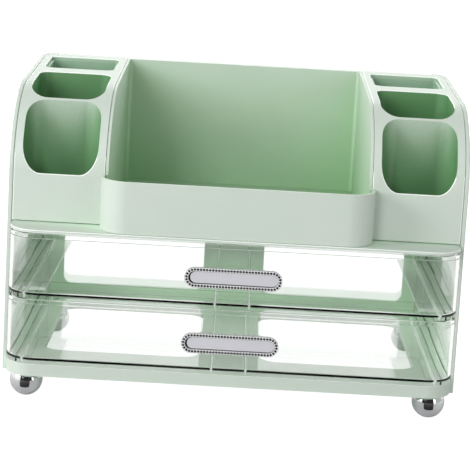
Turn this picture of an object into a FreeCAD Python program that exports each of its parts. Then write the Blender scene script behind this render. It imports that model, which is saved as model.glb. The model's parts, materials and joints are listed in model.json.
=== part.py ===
import FreeCAD, Part
import math
import os

import Sketcher

# Makeup organizer with two clear drawers.
# Every body is drawn with X to the right from the middle, Y backwards from the front of the
# drawers and Z up from the ground, and is then moved so that the origin is at the middle of
# the underside of the whole organizer.

SIZES = {
    # Frame: side panels with a curved shoulder, and the back
    "overall_width": 330,
    "overall_depth": 200,
    "panel_thickness": 3,
    "panel_setback": 29.5,
    "panel_overhang": 4,
    "return_width": 12,
    "rear_corner_radius": 11,
    "shoulder_rise": 36.5,
    "shoulder_radius": 60,
    "top_slope": 4.5,
    "column_width": 50,
    "window_margin": 11.6,
    "window_sill_rise": 10.8,
    "window_head_drop": 10.4,
    "window_radius": 6.5,
    # Tongues of the flat plates in the grooves of the side panels
    "tongue_length": 1.1,
    "tongue_setback": 34,
    "tongue_rear_margin": 10,
    "groove_gap": 0.1,
    # Base
    "base_height": 8.9,
    "base_front": 1.5,
    "base_floor_thickness": 2.5,
    "skirt_thickness": 2.5,
    "collar_height": 5.5,
    "floor_opening_inner": 22,
    "floor_opening_side_margin": 24,
    "floor_opening_front": 37.5,
    "floor_opening_rear_margin": 22,
    "floor_opening_radius": 14,
    "gate_mark_radius": 9,
    "gate_mark_depth": 0.4,
    # Ball feet
    "foot_diameter": 23.5,
    "foot_flat": 0.4,
    "foot_height": 20.9,
    "foot_inset": 15.5,
    "foot_boss_radius": 7,
    "foot_socket_depth": 2.9,
    "foot_screw_bite": 9,
    # Screws of the feet and of the handles
    "screw_radius": 1.5,
    "screw_head_radius": 2.8,
    "screw_head_height": 1.6,
    "screw_gap": 0.2,
    "thread_gap": 0.05,
    # Drawers, their rails and the shelf above them
    "front_corner_radius": 20,
    "drawer_side_gap": 1,
    "drawer_pitch": 47.5,
    "drawer_rear_gap": 1,
    "drawer_rear_radius": 8,
    "drawer_wall": 2,
    "drawer_floor": 2,
    "drawer_inner_fillet": 3.4,
    "drawer_outer_fillet": 1.5,
    "rim_lip_height": 3.5,
    "rim_lip_width": 0.8,
    "runner_height": 2.8,
    "runner_width": 1.2,
    "runner_inset": 5,
    "centre_runner": 12.3,
    "inner_runner_inset": 13.5,
    "outer_runner_inset": 9,
    "running_gap": 0.3,
    "rail_thickness": 2.4,
    "rail_width": 26,
    "shelf_clearance": 0.5,
    "shelf_thickness": 2.1,
    "shelf_front": 1,
    # Handles
    "handle_length": 68.8,
    "handle_height": 14.4,
    "handle_thickness": 2.5,
    "handle_standoff": 3.5,
    "handle_rise": 21.1,
    "handle_border": 2.8,
    "inlay_recess": 0.8,
    "inlay_thickness": 0.6,
    "inlay_gap": 0.1,
    "post_offset": 17.25,
    "post_width": 9.5,
    "post_height": 13.2,
    "handle_screw_bite": 4.3,
    "bead_radius": 0.95,
    "bead_pitch": 2.135,
    # Boxes that stand on the shelf
    "lift_gap": 0.3,
    "box_wall": 2,
    "box_floor_rise": 5.2,
    "box_floor_thickness": 2.5,
    "bin_half_width": 95.7,
    "bin_front_overlap": 1.95,
    "bin_front": 2,
    "bin_rim_rise": 37.5,
    "bin_top_inset": 0.5,
    "bin_inner_radius": 3,
    "well_margin": 5.6,
    "front_well_depth": 24,
    "front_well_radius": 13,
    "front_sill_rise": 35.5,
    "front_sill_radius": 16,
    "middle_well_depth": 62.5,
    "middle_well_front_radius": 13.5,
    "middle_well_rear_radius": 9,
    "well_spacing": 16.5,
    "rear_well_margin": 11.7,
    "rear_well_front_radius": 7.5,
    "rear_well_rear_radius": 3.5,
    "rear_ledge_depth": 2.5,
    "rear_ledge_width": 2,
}

doc = FreeCAD.newDocument("makeup_organizer")
sheet = doc.addObject("Spreadsheet::Sheet", "sizes")
for row, (alias, number) in enumerate(SIZES.items(), start=1):
    sheet.set("A%d" % row, alias)
    sheet.set("B%d" % row, str(number))
    sheet.setAlias("B%d" % row, alias)
doc.recompute()


# Lengths and levels worked out from the sheet, as expressions


def size(alias):
    return "sizes." + alias


def total(*terms):
    return "(" + " + ".join(terms) + ")"


def less(first, *others):
    return "(" + " - ".join((first,) + others) + ")"


def half(term):
    return "(" + term + " / 2)"


def signed(side, term):
    return term if side > 0 else "(-1 * " + term + ")"


def between(side, near, far):
    """The left and right ends of a span that lies between two distances from the middle."""
    return (near, far) if side > 0 else (signed(side, far), signed(side, near))


def around(centre, width):
    """The two ends of a width centred on a place."""
    return less(centre, half(width)), total(centre, half(width))


HALF_WIDTH = half(size("overall_width"))
INNER_HALF = less(HALF_WIDTH, size("panel_thickness"))
DRAWER_HALF = less(INNER_HALF, size("drawer_side_gap"))
INNER_BACK = less(size("overall_depth"), size("panel_thickness"))
INNER_CORNER = less(size("rear_corner_radius"), size("panel_thickness"))
TONGUE_HALF = total(INNER_HALF, size("tongue_length"))
TONGUE_END = less(INNER_BACK, size("tongue_rear_margin"))

BASE_BOTTOM = less(size("foot_height"), size("foot_socket_depth"))
FLOOR_LEVEL = total(BASE_BOTTOM, size("base_height"))
FLOOR_UNDERSIDE = less(FLOOR_LEVEL, size("base_floor_thickness"))
RAIL_LEVEL = total(FLOOR_LEVEL, size("drawer_pitch"))
SHELF_UNDERSIDE = total(RAIL_LEVEL, size("drawer_pitch"), size("shelf_clearance"))
SHELF_LEVEL = total(SHELF_UNDERSIDE, size("shelf_thickness"))
BOX_BOTTOM = total(SHELF_LEVEL, size("lift_gap"))
BOX_FLOOR = total(BOX_BOTTOM, size("box_floor_rise"))
BOX_BACK = less(INNER_BACK, size("lift_gap"))
SHOULDER_LEVEL = total(SHELF_LEVEL, size("shoulder_rise"))
ARC_CENTRE = total(size("panel_setback"), size("shoulder_radius"))
PANEL_BOTTOM = less(BASE_BOTTOM, size("panel_overhang"))

SEAT_TO_DRAWER = total(size("running_gap"), size("runner_height"))
DRAWER_HEIGHT = less(size("drawer_pitch"), SEAT_TO_DRAWER)
DRAWER_DEPTH = less(INNER_BACK, size("drawer_rear_gap"))
OPENING_REAR = less(INNER_BACK, size("floor_opening_rear_margin"))
HANDLE_REACH = total(size("handle_standoff"), size("handle_thickness"), size("bead_radius"))
MIDDLE_DEPTH = half(less(size("overall_depth"), HANDLE_REACH))


def profile_height(depth):
    """Level of the sloping top at a depth behind the shoulder's arc."""
    rise = "(%s / cos(sizes.top_slope * 1 deg))" % size("shoulder_radius")
    slope = "((%s - %s) * tan(sizes.top_slope * 1 deg))" % (depth, ARC_CENTRE)
    return total(SHOULDER_LEVEL, rise, slope)


def measure(expression):
    value = sheet.evalExpression(expression)
    return getattr(value, "Value", value)


# Bodies, sketches and features


def new_body(label):
    body = doc.addObject("PartDesign::Body", label)
    body.Label = label
    body.setExpression("Placement.Base.y", less("0", MIDDLE_DEPTH))
    return body


def new_sketch(body, name, plane, offset="0"):
    """A sketch on one of the body's own planes, moved along that plane's normal."""
    sketch = body.newObject("Sketcher::SketchObject", body.Name + "_" + name)
    role = plane + "_Plane"
    support = next(item for item in body.Origin.OriginFeatures if item.Role == role)
    sketch.AttachmentSupport = [(support, "")]
    sketch.MapMode = "FlatFace"
    sketch.setExpression("AttachmentOffset.Base.z", offset)
    return sketch


def bind(sketch, kind, references, expression):
    """A dimension of the sketch that follows an expression of the sheet."""
    index = sketch.addConstraint(Sketcher.Constraint(kind, *references, measure(expression)))
    name = "size_%d" % index
    sketch.renameConstraint(index, name)
    sketch.setExpression("Constraints." + name, expression)


def tangent_points(previous, corner, following, radius):
    """Ends and middle of the arc that rounds a square corner."""
    point = FreeCAD.Vector(*corner, 0)
    back = (FreeCAD.Vector(*previous, 0) - point).normalize() * radius
    ahead = (FreeCAD.Vector(*following, 0) - point).normalize() * radius
    centre = point + back + ahead
    middle = centre + (point - centre).normalize() * radius
    return point + back, middle, point + ahead


def draw_outline(sketch, corners):
    """A closed outline of level and upright lines; each corner is (across, up, radius)."""
    places = [(measure(across), measure(up)) for across, up, radius in corners]
    count = len(corners)
    arcs = {}
    starts = [FreeCAD.Vector(*place, 0) for place in places]
    ends = [FreeCAD.Vector(*place, 0) for place in places]
    for index, (across, up, radius) in enumerate(corners):
        if radius:
            neighbours = places[index - 1], places[index], places[(index + 1) % count]
            first, middle, last = tangent_points(*neighbours, measure(radius))
            arcs[index] = sketch.addGeometry(Part.Arc(first, middle, last))
            ends[index], starts[index] = first, last
    lines = [
        sketch.addGeometry(Part.LineSegment(starts[index], ends[(index + 1) % count]))
        for index in range(count)
    ]
    for index, (across, up, radius) in enumerate(corners):
        line = lines[index]
        upright = across == corners[(index + 1) % count][0]
        sketch.addConstraint(Sketcher.Constraint("Vertical" if upright else "Horizontal", line))
        distance = "DistanceX" if upright else "DistanceY"
        bind(sketch, distance, (-1, 1, line, 1), across if upright else up)
        if not radius:
            joint = lines[index - 1], 2, line, 1
            sketch.addConstraint(Sketcher.Constraint("Coincident", *joint))
            continue
        arc = arcs[index]
        near, far = arc_ends(sketch, arc, ends[index])
        sketch.addConstraint(Sketcher.Constraint("Tangent", lines[index - 1], 2, arc, near))
        sketch.addConstraint(Sketcher.Constraint("Tangent", arc, far, line, 1))
        bind(sketch, "Radius", (arc,), radius)


def arc_ends(sketch, arc, place):
    """The vertex numbers of the arc's end at a place and of its other end."""
    at_start = sketch.getPoint(arc, 1).distanceToPoint(place) < 1e-6
    return (1, 2) if at_start else (2, 1)


def draw_rectangle(sketch, left, right, low, high, low_radius=None, high_radius=None):
    """A rectangle; the radii round its two lower and its two upper corners."""
    lower = [(left, low, low_radius), (right, low, low_radius)]
    upper = [(right, high, high_radius), (left, high, high_radius)]
    draw_outline(sketch, lower + upper)


def draw_circle(sketch, across, up, radius):
    centre = FreeCAD.Vector(measure(across), measure(up), 0)
    circle = sketch.addGeometry(Part.Circle(centre, FreeCAD.Vector(0, 0, 1), measure(radius)))
    bind(sketch, "DistanceX", (-1, 1, circle, 3), across)
    bind(sketch, "DistanceY", (-1, 1, circle, 3), up)
    bind(sketch, "Radius", (circle,), radius)


def draw_profile(sketch, inset, bottom, back, rim=None):
    """The organizer's side outline: upright front, round shoulder and sloping top.

    inset draws it that far inside the panels. rim is (front, level) of a low front part that
    reaches forward of the shoulder.
    """
    angle = math.radians(measure(size("top_slope")))
    radius = measure(size("shoulder_radius")) - measure(inset)
    centre = FreeCAD.Vector(measure(ARC_CENTRE), measure(SHOULDER_LEVEL), 0)
    lowest, rearmost = measure(bottom), measure(back)
    front = centre.x - radius
    start_angle = math.pi
    if rim:
        start_angle = math.pi - math.asin((measure(rim[1]) - centre.y) / radius)
    top_angle = math.pi / 2 + angle

    def on_arc(turn):
        return centre + FreeCAD.Vector(math.cos(turn), math.sin(turn), 0) * radius

    start, crown = on_arc(start_angle), on_arc(top_angle)
    rear_top = FreeCAD.Vector(rearmost, crown.y + (rearmost - crown.x) * math.tan(angle), 0)
    middle = on_arc((start_angle + top_angle) / 2)
    arc = sketch.addGeometry(Part.Arc(start, middle, crown))
    crown_end, start_end = arc_ends(sketch, arc, crown)
    points = [crown, rear_top, FreeCAD.Vector(rearmost, lowest, 0)]
    if rim:
        rim_front, rim_level = measure(rim[0]), measure(rim[1])
        points.append(FreeCAD.Vector(rim_front, lowest, 0))
        points.append(FreeCAD.Vector(rim_front, rim_level, 0))
    else:
        points.append(FreeCAD.Vector(front, lowest, 0))
    points.append(start)
    lines = [
        sketch.addGeometry(Part.LineSegment(first, second))
        for first, second in zip(points, points[1:])
    ]
    top, rear, floor = lines[:3]
    bind(sketch, "DistanceX", (-1, 1, arc, 3), ARC_CENTRE)
    bind(sketch, "DistanceY", (-1, 1, arc, 3), SHOULDER_LEVEL)
    bind(sketch, "Radius", (arc,), less(size("shoulder_radius"), inset))
    sketch.addConstraint(Sketcher.Constraint("Tangent", arc, crown_end, top, 1))
    bind(sketch, "Angle", (top,), "(sizes.top_slope * 1 deg)")
    for first, second in zip(lines, lines[1:]):
        sketch.addConstraint(Sketcher.Constraint("Coincident", first, 2, second, 1))
    sketch.addConstraint(Sketcher.Constraint("Vertical", rear))
    sketch.addConstraint(Sketcher.Constraint("Horizontal", floor))
    bind(sketch, "DistanceX", (-1, 1, rear, 2), back)
    bind(sketch, "DistanceY", (-1, 1, floor, 2), bottom)
    if rim:
        sketch.addConstraint(Sketcher.Constraint("Vertical", lines[3]))
        sketch.addConstraint(Sketcher.Constraint("Horizontal", lines[4]))
        bind(sketch, "DistanceX", (-1, 1, lines[3], 2), rim[0])
        bind(sketch, "DistanceY", (-1, 1, lines[4], 2), rim[1])
        sketch.addConstraint(Sketcher.Constraint("Coincident", lines[4], 2, arc, start_end))
    else:
        sketch.addConstraint(Sketcher.Constraint("Tangent", lines[3], 2, arc, start_end))


def pad(body, sketch, length, midplane=False):
    feature = body.newObject("PartDesign::Pad", sketch.Name + "_pad")
    feature.Profile = sketch
    feature.setExpression("Length", length)
    feature.Midplane = midplane
    doc.recompute()
    return feature


def pocket(body, sketch, length=None, upwards=False):
    """Cut along the sketch's normal, against it by default; no length cuts all the way."""
    volume = body.Shape.Volume
    feature = body.newObject("PartDesign::Pocket", sketch.Name + "_pocket")
    feature.Profile = sketch
    if length:
        feature.setExpression("Length", length)
    else:
        feature.Type = "ThroughAll"
    feature.Reversed = upwards
    doc.recompute()
    if not body.Shape.Volume < volume - 1e-3:
        raise ValueError(feature.Name + " cuts nothing")
    return feature


def round_edges(body, name, radius, wanted):
    """Round the edges for which wanted(edge) is true."""
    tip = body.Tip
    chosen = [
        "Edge%d" % number for number, edge in enumerate(tip.Shape.Edges, start=1) if wanted(edge)
    ]
    feature = body.newObject("PartDesign::Fillet", body.Name + "_" + name)
    feature.Base = (tip, chosen)
    feature.setExpression("Radius", radius)
    doc.recompute()


def lies_at(edge, axis, place):
    """True for an edge that lies wholly at one place along an axis."""
    box = edge.BoundBox
    low, high = getattr(box, axis + "Min"), getattr(box, axis + "Max")
    return abs(low - place) < 1e-3 and abs(high - place) < 1e-3


# Frame


def side_panel(label, side):
    body = new_body(label)
    near = less(HALF_WIDTH, size("return_width"))
    outline = new_sketch(body, "outline", "YZ", near if side > 0 else signed(side, HALF_WIDTH))
    draw_profile(outline, "0", PANEL_BOTTOM, size("overall_depth"))
    pad(body, outline, size("return_width"))

    inside = new_sketch(body, "inside", "XY")
    ahead = less(size("panel_setback"), size("panel_thickness"))
    middle = less(near, size("panel_thickness"))
    corners = [
        (signed(side, middle), ahead, None),
        (signed(side, INNER_HALF), ahead, None),
        (signed(side, INNER_HALF), INNER_BACK, INNER_CORNER),
        (signed(side, middle), INNER_BACK, None),
    ]
    draw_outline(inside, corners)
    pocket(body, inside, upwards=True)

    outer = side * measure(HALF_WIDTH)
    rear = measure(size("overall_depth"))
    round_edges(
        body,
        "rear_corner",
        size("rear_corner_radius"),
        lambda edge: lies_at(edge, "X", outer) and lies_at(edge, "Y", rear),
    )

    depth = total(size("tongue_length"), size("groove_gap"))
    offset = INNER_HALF if side > 0 else signed(side, total(INNER_HALF, depth))
    grooves = new_sketch(body, "grooves", "YZ", offset)
    slack = half(size("groove_gap"))
    for low, high in (
        (FLOOR_UNDERSIDE, FLOOR_LEVEL),
        (less(RAIL_LEVEL, size("rail_thickness")), RAIL_LEVEL),
        (SHELF_UNDERSIDE, SHELF_LEVEL),
    ):
        draw_rectangle(
            grooves,
            less(size("tongue_setback"), size("groove_gap")),
            total(TONGUE_END, size("groove_gap")),
            less(low, slack),
            total(high, slack),
        )
    pocket(body, grooves, depth, upwards=True)
    return body


def back_panel():
    body = new_body("back_panel")
    outline = new_sketch(body, "outline", "XZ", less("0", size("overall_depth")))
    edge = less(HALF_WIDTH, size("return_width"))
    draw_rectangle(outline, signed(-1, edge), edge, BASE_BOTTOM, profile_height(INNER_BACK))
    for side in (-1, 1):
        far = less(edge, size("window_margin"))
        draw_rectangle(
            outline,
            *between(side, half(size("column_width")), far),
            total(FLOOR_LEVEL, size("window_sill_rise")),
            less(SHELF_UNDERSIDE, size("window_head_drop")),
            size("window_radius"),
            size("window_radius"),
        )
    pad(body, outline, size("panel_thickness"))
    return body


def draw_tray(sketch, front, rear_half):
    """The plan of a plate between the side panels; rear_half is the half width in the grooves."""
    right = [
        (DRAWER_HALF, front, size("front_corner_radius")),
        (DRAWER_HALF, size("tongue_setback"), None),
        (rear_half, size("tongue_setback"), None),
    ]
    if rear_half != INNER_HALF:
        right += [(rear_half, TONGUE_END, None), (INNER_HALF, TONGUE_END, None)]
    right.append((INNER_HALF, INNER_BACK, INNER_CORNER))
    left = [(signed(-1, across), up, radius) for across, up, radius in reversed(right)]
    draw_outline(sketch, right + left)


def foot_places():
    across = less(DRAWER_HALF, size("foot_inset"))
    front = total(size("base_front"), size("foot_inset"))
    rear = less(INNER_BACK, size("foot_inset"))
    return {
        "front_left": (signed(-1, across), front),
        "front_right": (across, front),
        "rear_left": (signed(-1, across), rear),
        "rear_right": (across, rear),
    }


def base_tray():
    body = new_body("base_tray")
    low = FLOOR_UNDERSIDE

    def opening(sketch, side, growth):
        near = less(size("floor_opening_inner"), growth)
        far = total(less(DRAWER_HALF, size("floor_opening_side_margin")), growth)
        draw_rectangle(
            sketch,
            *between(side, near, far),
            less(size("floor_opening_front"), growth),
            total(OPENING_REAR, growth),
            total(size("floor_opening_radius"), growth),
            total(size("floor_opening_radius"), growth),
        )

    plate = new_sketch(body, "plate", "XY", low)
    draw_tray(plate, size("base_front"), TONGUE_HALF)
    for side in (-1, 1):
        opening(plate, side, "0")
    pad(body, plate, size("base_floor_thickness"))

    skirt = new_sketch(body, "skirt", "XY", BASE_BOTTOM)
    draw_tray(skirt, size("base_front"), INNER_HALF)
    wall = size("skirt_thickness")
    draw_rectangle(
        skirt,
        signed(-1, less(DRAWER_HALF, wall)),
        less(DRAWER_HALF, wall),
        total(size("base_front"), wall),
        less(INNER_BACK, wall),
        less(size("front_corner_radius"), wall),
        INNER_CORNER,
    )
    pad(body, skirt, less(low, BASE_BOTTOM))

    collars = new_sketch(body, "collars", "XY", less(FLOOR_LEVEL, size("collar_height")))
    for side in (-1, 1):
        opening(collars, side, "0")
        opening(collars, side, wall)
    pad(body, collars, less(size("collar_height"), size("base_floor_thickness")))

    bosses = new_sketch(body, "bosses", "XY", size("foot_height"))
    for across, along in foot_places().values():
        draw_circle(bosses, across, along, size("foot_boss_radius"))
    pad(body, bosses, less(low, size("foot_height")))

    holes = new_sketch(body, "screw_holes", "XY", FLOOR_LEVEL)
    heads = new_sketch(body, "screw_heads", "XY", FLOOR_LEVEL)
    for across, along in foot_places().values():
        draw_circle(holes, across, along, total(size("screw_radius"), size("screw_gap")))
        draw_circle(heads, across, along, total(size("screw_head_radius"), size("screw_gap")))
    pocket(body, holes)
    pocket(body, heads, total(size("screw_head_height"), half(size("screw_gap"))))

    mark = new_sketch(body, "gate_mark", "XY", FLOOR_LEVEL)
    middle = half(total(size("floor_opening_front"), OPENING_REAR))
    draw_circle(mark, "0", middle, size("gate_mark_radius"))
    pocket(body, mark, size("gate_mark_depth"))
    return body


def top_shelf():
    body = new_body("top_shelf")
    plate = new_sketch(body, "plate", "XY", SHELF_UNDERSIDE)
    draw_tray(plate, size("shelf_front"), TONGUE_HALF)
    pad(body, plate, size("shelf_thickness"))
    return body


def drawer_rail(label, side):
    body = new_body(label)
    plate = new_sketch(body, "plate", "XY", less(RAIL_LEVEL, size("rail_thickness")))
    near = less(INNER_HALF, size("rail_width"))
    corners = [
        (signed(side, near), size("tongue_setback"), None),
        (signed(side, TONGUE_HALF), size("tongue_setback"), None),
        (signed(side, TONGUE_HALF), TONGUE_END, None),
        (signed(side, INNER_HALF), TONGUE_END, None),
        (signed(side, INNER_HALF), INNER_BACK, INNER_CORNER),
        (signed(side, near), INNER_BACK, None),
    ]
    draw_outline(plate, corners)
    pad(body, plate, size("rail_thickness"))
    return body


# Feet


def moved(kind, name, values, across, along, level):
    """A Part primitive at a place, with its sizes bound to the sheet."""
    item = doc.addObject(kind, name)
    for key, expression in values.items():
        item.setExpression(key, expression)
    item.setExpression("Placement.Base.x", across)
    item.setExpression("Placement.Base.y", less(along, MIDDLE_DEPTH))
    item.setExpression("Placement.Base.z", level)
    return item


def foot(place, across, along):
    radius = half(size("foot_diameter"))
    centre = less(radius, size("foot_flat"))
    ball = moved(
        "Part::Sphere",
        place + "_ball",
        {
            "Radius": radius,
            "Angle1": "-asin(%s / %s)" % (centre, radius),
            "Angle2": "asin((%s - %s) / %s)" % (size("foot_height"), centre, radius),
        },
        across,
        along,
        centre,
    )
    depth = total(size("foot_screw_bite"), size("screw_gap"))
    bore = moved(
        "Part::Cylinder",
        place + "_bore",
        {"Radius": total(size("screw_radius"), size("thread_gap")), "Height": depth},
        across,
        along,
        less(size("foot_height"), depth),
    )
    result = doc.addObject("Part::Cut", place + "_foot")
    result.Base, result.Tool = ball, bore
    return result


def foot_screws():
    """Screws from the floor of the base down into the feet, heads just under its surface."""
    head_top = less(FLOOR_LEVEL, half(size("screw_gap")))
    head_low = less(head_top, size("screw_head_height"))
    tip = less(size("foot_height"), size("foot_screw_bite"))
    pieces = []
    for place, (across, along) in foot_places().items():
        shank = {"Radius": size("screw_radius"), "Height": less(head_low, tip)}
        head = {"Radius": size("screw_head_radius"), "Height": size("screw_head_height")}
        pieces.append(moved("Part::Cylinder", place + "_shank", shank, across, along, tip))
        pieces.append(moved("Part::Cylinder", place + "_head", head, across, along, head_low))
    result = doc.addObject("Part::MultiFuse", "foot_screws")
    result.Shapes = pieces
    return result


# Drawers


def drawer(label, seat):
    """A clear drawer whose runners stand the running gap above its seat."""
    body = new_body(label)
    bottom = total(seat, SEAT_TO_DRAWER)
    rim = total(bottom, DRAWER_HEIGHT)
    floor = total(bottom, size("drawer_floor"))

    def plan(sketch, wall):
        draw_rectangle(
            sketch,
            signed(-1, less(DRAWER_HALF, wall)),
            less(DRAWER_HALF, wall),
            wall,
            less(DRAWER_DEPTH, wall),
            less(size("front_corner_radius"), wall),
            less(size("drawer_rear_radius"), wall),
        )

    outside = new_sketch(body, "outside", "XY", bottom)
    plan(outside, "0")
    pad(body, outside, DRAWER_HEIGHT)
    under = measure(bottom)
    round_edges(
        body, "lower_edge", size("drawer_outer_fillet"), lambda edge: lies_at(edge, "Z", under)
    )

    mouth = new_sketch(body, "mouth", "XY", rim)
    plan(mouth, total(size("drawer_wall"), size("rim_lip_width")))
    pocket(body, mouth, less(rim, floor))
    inside = new_sketch(body, "inside", "XY", less(rim, size("rim_lip_height")))
    plan(inside, size("drawer_wall"))
    pocket(body, inside, less(rim, size("rim_lip_height"), floor))
    above = measure(floor)
    round_edges(
        body, "inner_edge", size("drawer_inner_fillet"), lambda edge: lies_at(edge, "Z", above)
    )

    # The sides and the back are lower than the front, so that they pass under the rails
    side_rim = new_sketch(body, "side_rim", "XY", rim)
    reach = total(DRAWER_HALF, size("drawer_wall"))
    start = total(size("front_corner_radius"), size("drawer_wall"))
    end = total(DRAWER_DEPTH, size("drawer_wall"))
    draw_rectangle(side_rim, signed(-1, reach), reach, start, end)
    pocket(body, side_rim, total(size("rail_thickness"), size("running_gap")))

    runners = new_sketch(body, "runners", "XY", total(seat, size("running_gap")))
    rear = less(DRAWER_DEPTH, size("runner_inset"))
    for side in (-1, 1):
        for place in (
            size("centre_runner"),
            less(DRAWER_HALF, size("inner_runner_inset")),
            less(DRAWER_HALF, size("outer_runner_inset")),
        ):
            left, right = around(signed(side, place), size("runner_width"))
            draw_rectangle(runners, left, right, size("runner_inset"), rear)
    pad(body, runners, size("runner_height"))

    screws = new_sketch(body, "screw_holes", "XZ")
    for side in (-1, 1):
        across = signed(side, size("post_offset"))
        level = total(bottom, size("handle_rise"))
        draw_circle(screws, across, level, total(size("screw_radius"), size("screw_gap")))
    pocket(body, screws, size("drawer_wall"))
    return body


# Handles


def draw_stadium(sketch, level, inset):
    """The handle's outline, with fully round ends, drawn that far inside its edge."""
    across = less(half(size("handle_length")), inset)
    radius = less(half(size("handle_height")), inset)
    turn = less(across, radius)
    right, left = measure(turn), -measure(turn)
    middle, reach = measure(level), measure(radius)
    upper = Part.LineSegment(
        FreeCAD.Vector(left, middle + reach, 0), FreeCAD.Vector(right, middle + reach, 0)
    )
    lower = Part.LineSegment(
        FreeCAD.Vector(right, middle - reach, 0), FreeCAD.Vector(left, middle - reach, 0)
    )
    lines = [sketch.addGeometry(upper), sketch.addGeometry(lower)]
    for side, before, after in ((1, 0, 1), (-1, 1, 0)):
        centre = FreeCAD.Vector(side * measure(turn), middle, 0)
        rise = FreeCAD.Vector(0, side * reach, 0)
        outward = FreeCAD.Vector(side * reach, 0, 0)
        arc = sketch.addGeometry(Part.Arc(centre + rise, centre + outward, centre - rise))
        near, far = arc_ends(sketch, arc, centre + rise)
        sketch.addConstraint(Sketcher.Constraint("Tangent", lines[before], 2, arc, near))
        sketch.addConstraint(Sketcher.Constraint("Tangent", arc, far, lines[after], 1))
        bind(sketch, "DistanceX", (-1, 1, arc, 3), signed(side, turn))
    bind(sketch, "DistanceY", (-1, 1, arc, 3), level)
    bind(sketch, "Radius", (arc,), radius)
    sketch.addConstraint(Sketcher.Constraint("Horizontal", lines[0]))


def handle(prefix, level):
    """The metal plate with the two posts that carry it, and the inlay in its recess."""
    body = new_body(prefix + "_handle")
    face = total(size("handle_standoff"), size("handle_thickness"))
    posts = new_sketch(body, "posts", "XZ")
    for side in (-1, 1):
        left, right = around(signed(side, size("post_offset")), size("post_width"))
        draw_rectangle(posts, left, right, *around(level, size("post_height")))
    plate = new_sketch(body, "plate", "XZ", size("handle_standoff"))
    draw_stadium(plate, level, "0")
    pad(body, plate, size("handle_thickness"))
    pad(body, posts, size("handle_standoff"))

    recess = new_sketch(body, "recess", "XZ", face)
    draw_stadium(recess, level, size("handle_border"))
    pocket(body, recess, size("inlay_recess"))
    bores = new_sketch(body, "bores", "XZ")
    for side in (-1, 1):
        across = signed(side, size("post_offset"))
        draw_circle(bores, across, level, total(size("screw_radius"), size("thread_gap")))
    pocket(body, bores, total(size("handle_screw_bite"), size("screw_gap")), upwards=True)

    inlay = new_body(prefix + "_handle_inlay")
    plate = new_sketch(inlay, "plate", "XZ", less(face, size("inlay_recess")))
    draw_stadium(plate, level, total(size("handle_border"), size("inlay_gap")))
    pad(inlay, plate, size("inlay_thickness"))
    return [body, inlay]


def handle_beads(prefix, level):
    """A row of half-round beads along the middle of the handle's border."""
    inset = measure(size("handle_border")) / 2
    radius = measure(size("handle_height")) / 2 - inset
    straight = measure(size("handle_length")) - measure(size("handle_height"))
    row = 2 * straight + 2 * math.pi * radius
    count = round(row / measure(size("bead_pitch")))
    bead = measure(size("bead_radius"))
    face = -measure(size("handle_standoff")) - measure(size("handle_thickness"))
    beads = []
    for number in range(count):
        run = row * number / count
        side = 1
        if run >= row / 2:
            run -= row / 2
            side = -1
        turn = max(0.0, run - straight) / radius
        across = min(run, straight) - straight / 2 + radius * math.sin(turn)
        up = radius * math.cos(turn)
        place = FreeCAD.Vector(side * across, face, measure(level) + side * up)
        beads.append(Part.makeSphere(bead, place, FreeCAD.Vector(0, -1, 0), 0, 90, 360))
    result = doc.addObject("Part::Feature", prefix + "_handle_beads")
    result.Shape = Part.makeCompound(beads)
    result.Placement = FreeCAD.Placement(
        FreeCAD.Vector(0, -measure(MIDDLE_DEPTH), 0), FreeCAD.Rotation()
    )
    return result


def handle_screws(prefix, level):
    """Screws from inside the drawer, through its front, into the handle's posts."""
    body = new_body(prefix + "_handle_screws")
    head_back = total(size("drawer_wall"), size("screw_head_height"))
    heads = new_sketch(body, "heads", "XZ", less("0", head_back))
    shanks = new_sketch(body, "shanks", "XZ", less("0", size("drawer_wall")))
    for side in (-1, 1):
        across = signed(side, size("post_offset"))
        draw_circle(heads, across, level, size("screw_head_radius"))
        draw_circle(shanks, across, level, size("screw_radius"))
    pad(body, heads, size("screw_head_height"))
    pad(body, shanks, total(size("drawer_wall"), size("handle_screw_bite")))
    return body


# Boxes on the shelf


def centre_bin():
    body = new_body("centre_bin")
    front_half = total(size("bin_half_width"), size("bin_front_overlap"))
    step = less(size("panel_setback"), size("lift_gap"))
    rim = (size("bin_front"), total(SHELF_LEVEL, size("bin_rim_rise")))

    outline = new_sketch(body, "outline", "YZ")
    draw_profile(outline, size("bin_top_inset"), BOX_BOTTOM, BOX_BACK, rim)
    pad(body, outline, "(2 * %s)" % front_half, midplane=True)

    def plan(sketch, wall):
        wide, narrow = less(front_half, wall), less(size("bin_half_width"), wall)
        right = [
            (wide, total(size("bin_front"), wall), less(size("front_corner_radius"), wall)),
            (wide, less(step, wall), None),
            (narrow, less(step, wall), None),
            (narrow, less(BOX_BACK, wall), size("bin_inner_radius")),
        ]
        left = [(signed(-1, across), up, radius) for across, up, radius in reversed(right)]
        draw_outline(sketch, right + left)

    trim = new_sketch(body, "trim", "XY")
    reach = total(front_half, size("box_wall"))
    behind = total(BOX_BACK, size("box_wall"))
    draw_rectangle(trim, signed(-1, reach), reach, "0", behind)
    plan(trim, "0")
    pocket(body, trim, upwards=True)

    inside = new_sketch(body, "inside", "XY", BOX_FLOOR)
    plan(inside, size("box_wall"))
    pocket(body, inside, upwards=True)
    underside = new_sketch(body, "underside", "XY", BOX_BOTTOM)
    plan(underside, size("box_wall"))
    pocket(body, underside, less(size("box_floor_rise"), size("box_floor_thickness")), upwards=True)
    return body


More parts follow.
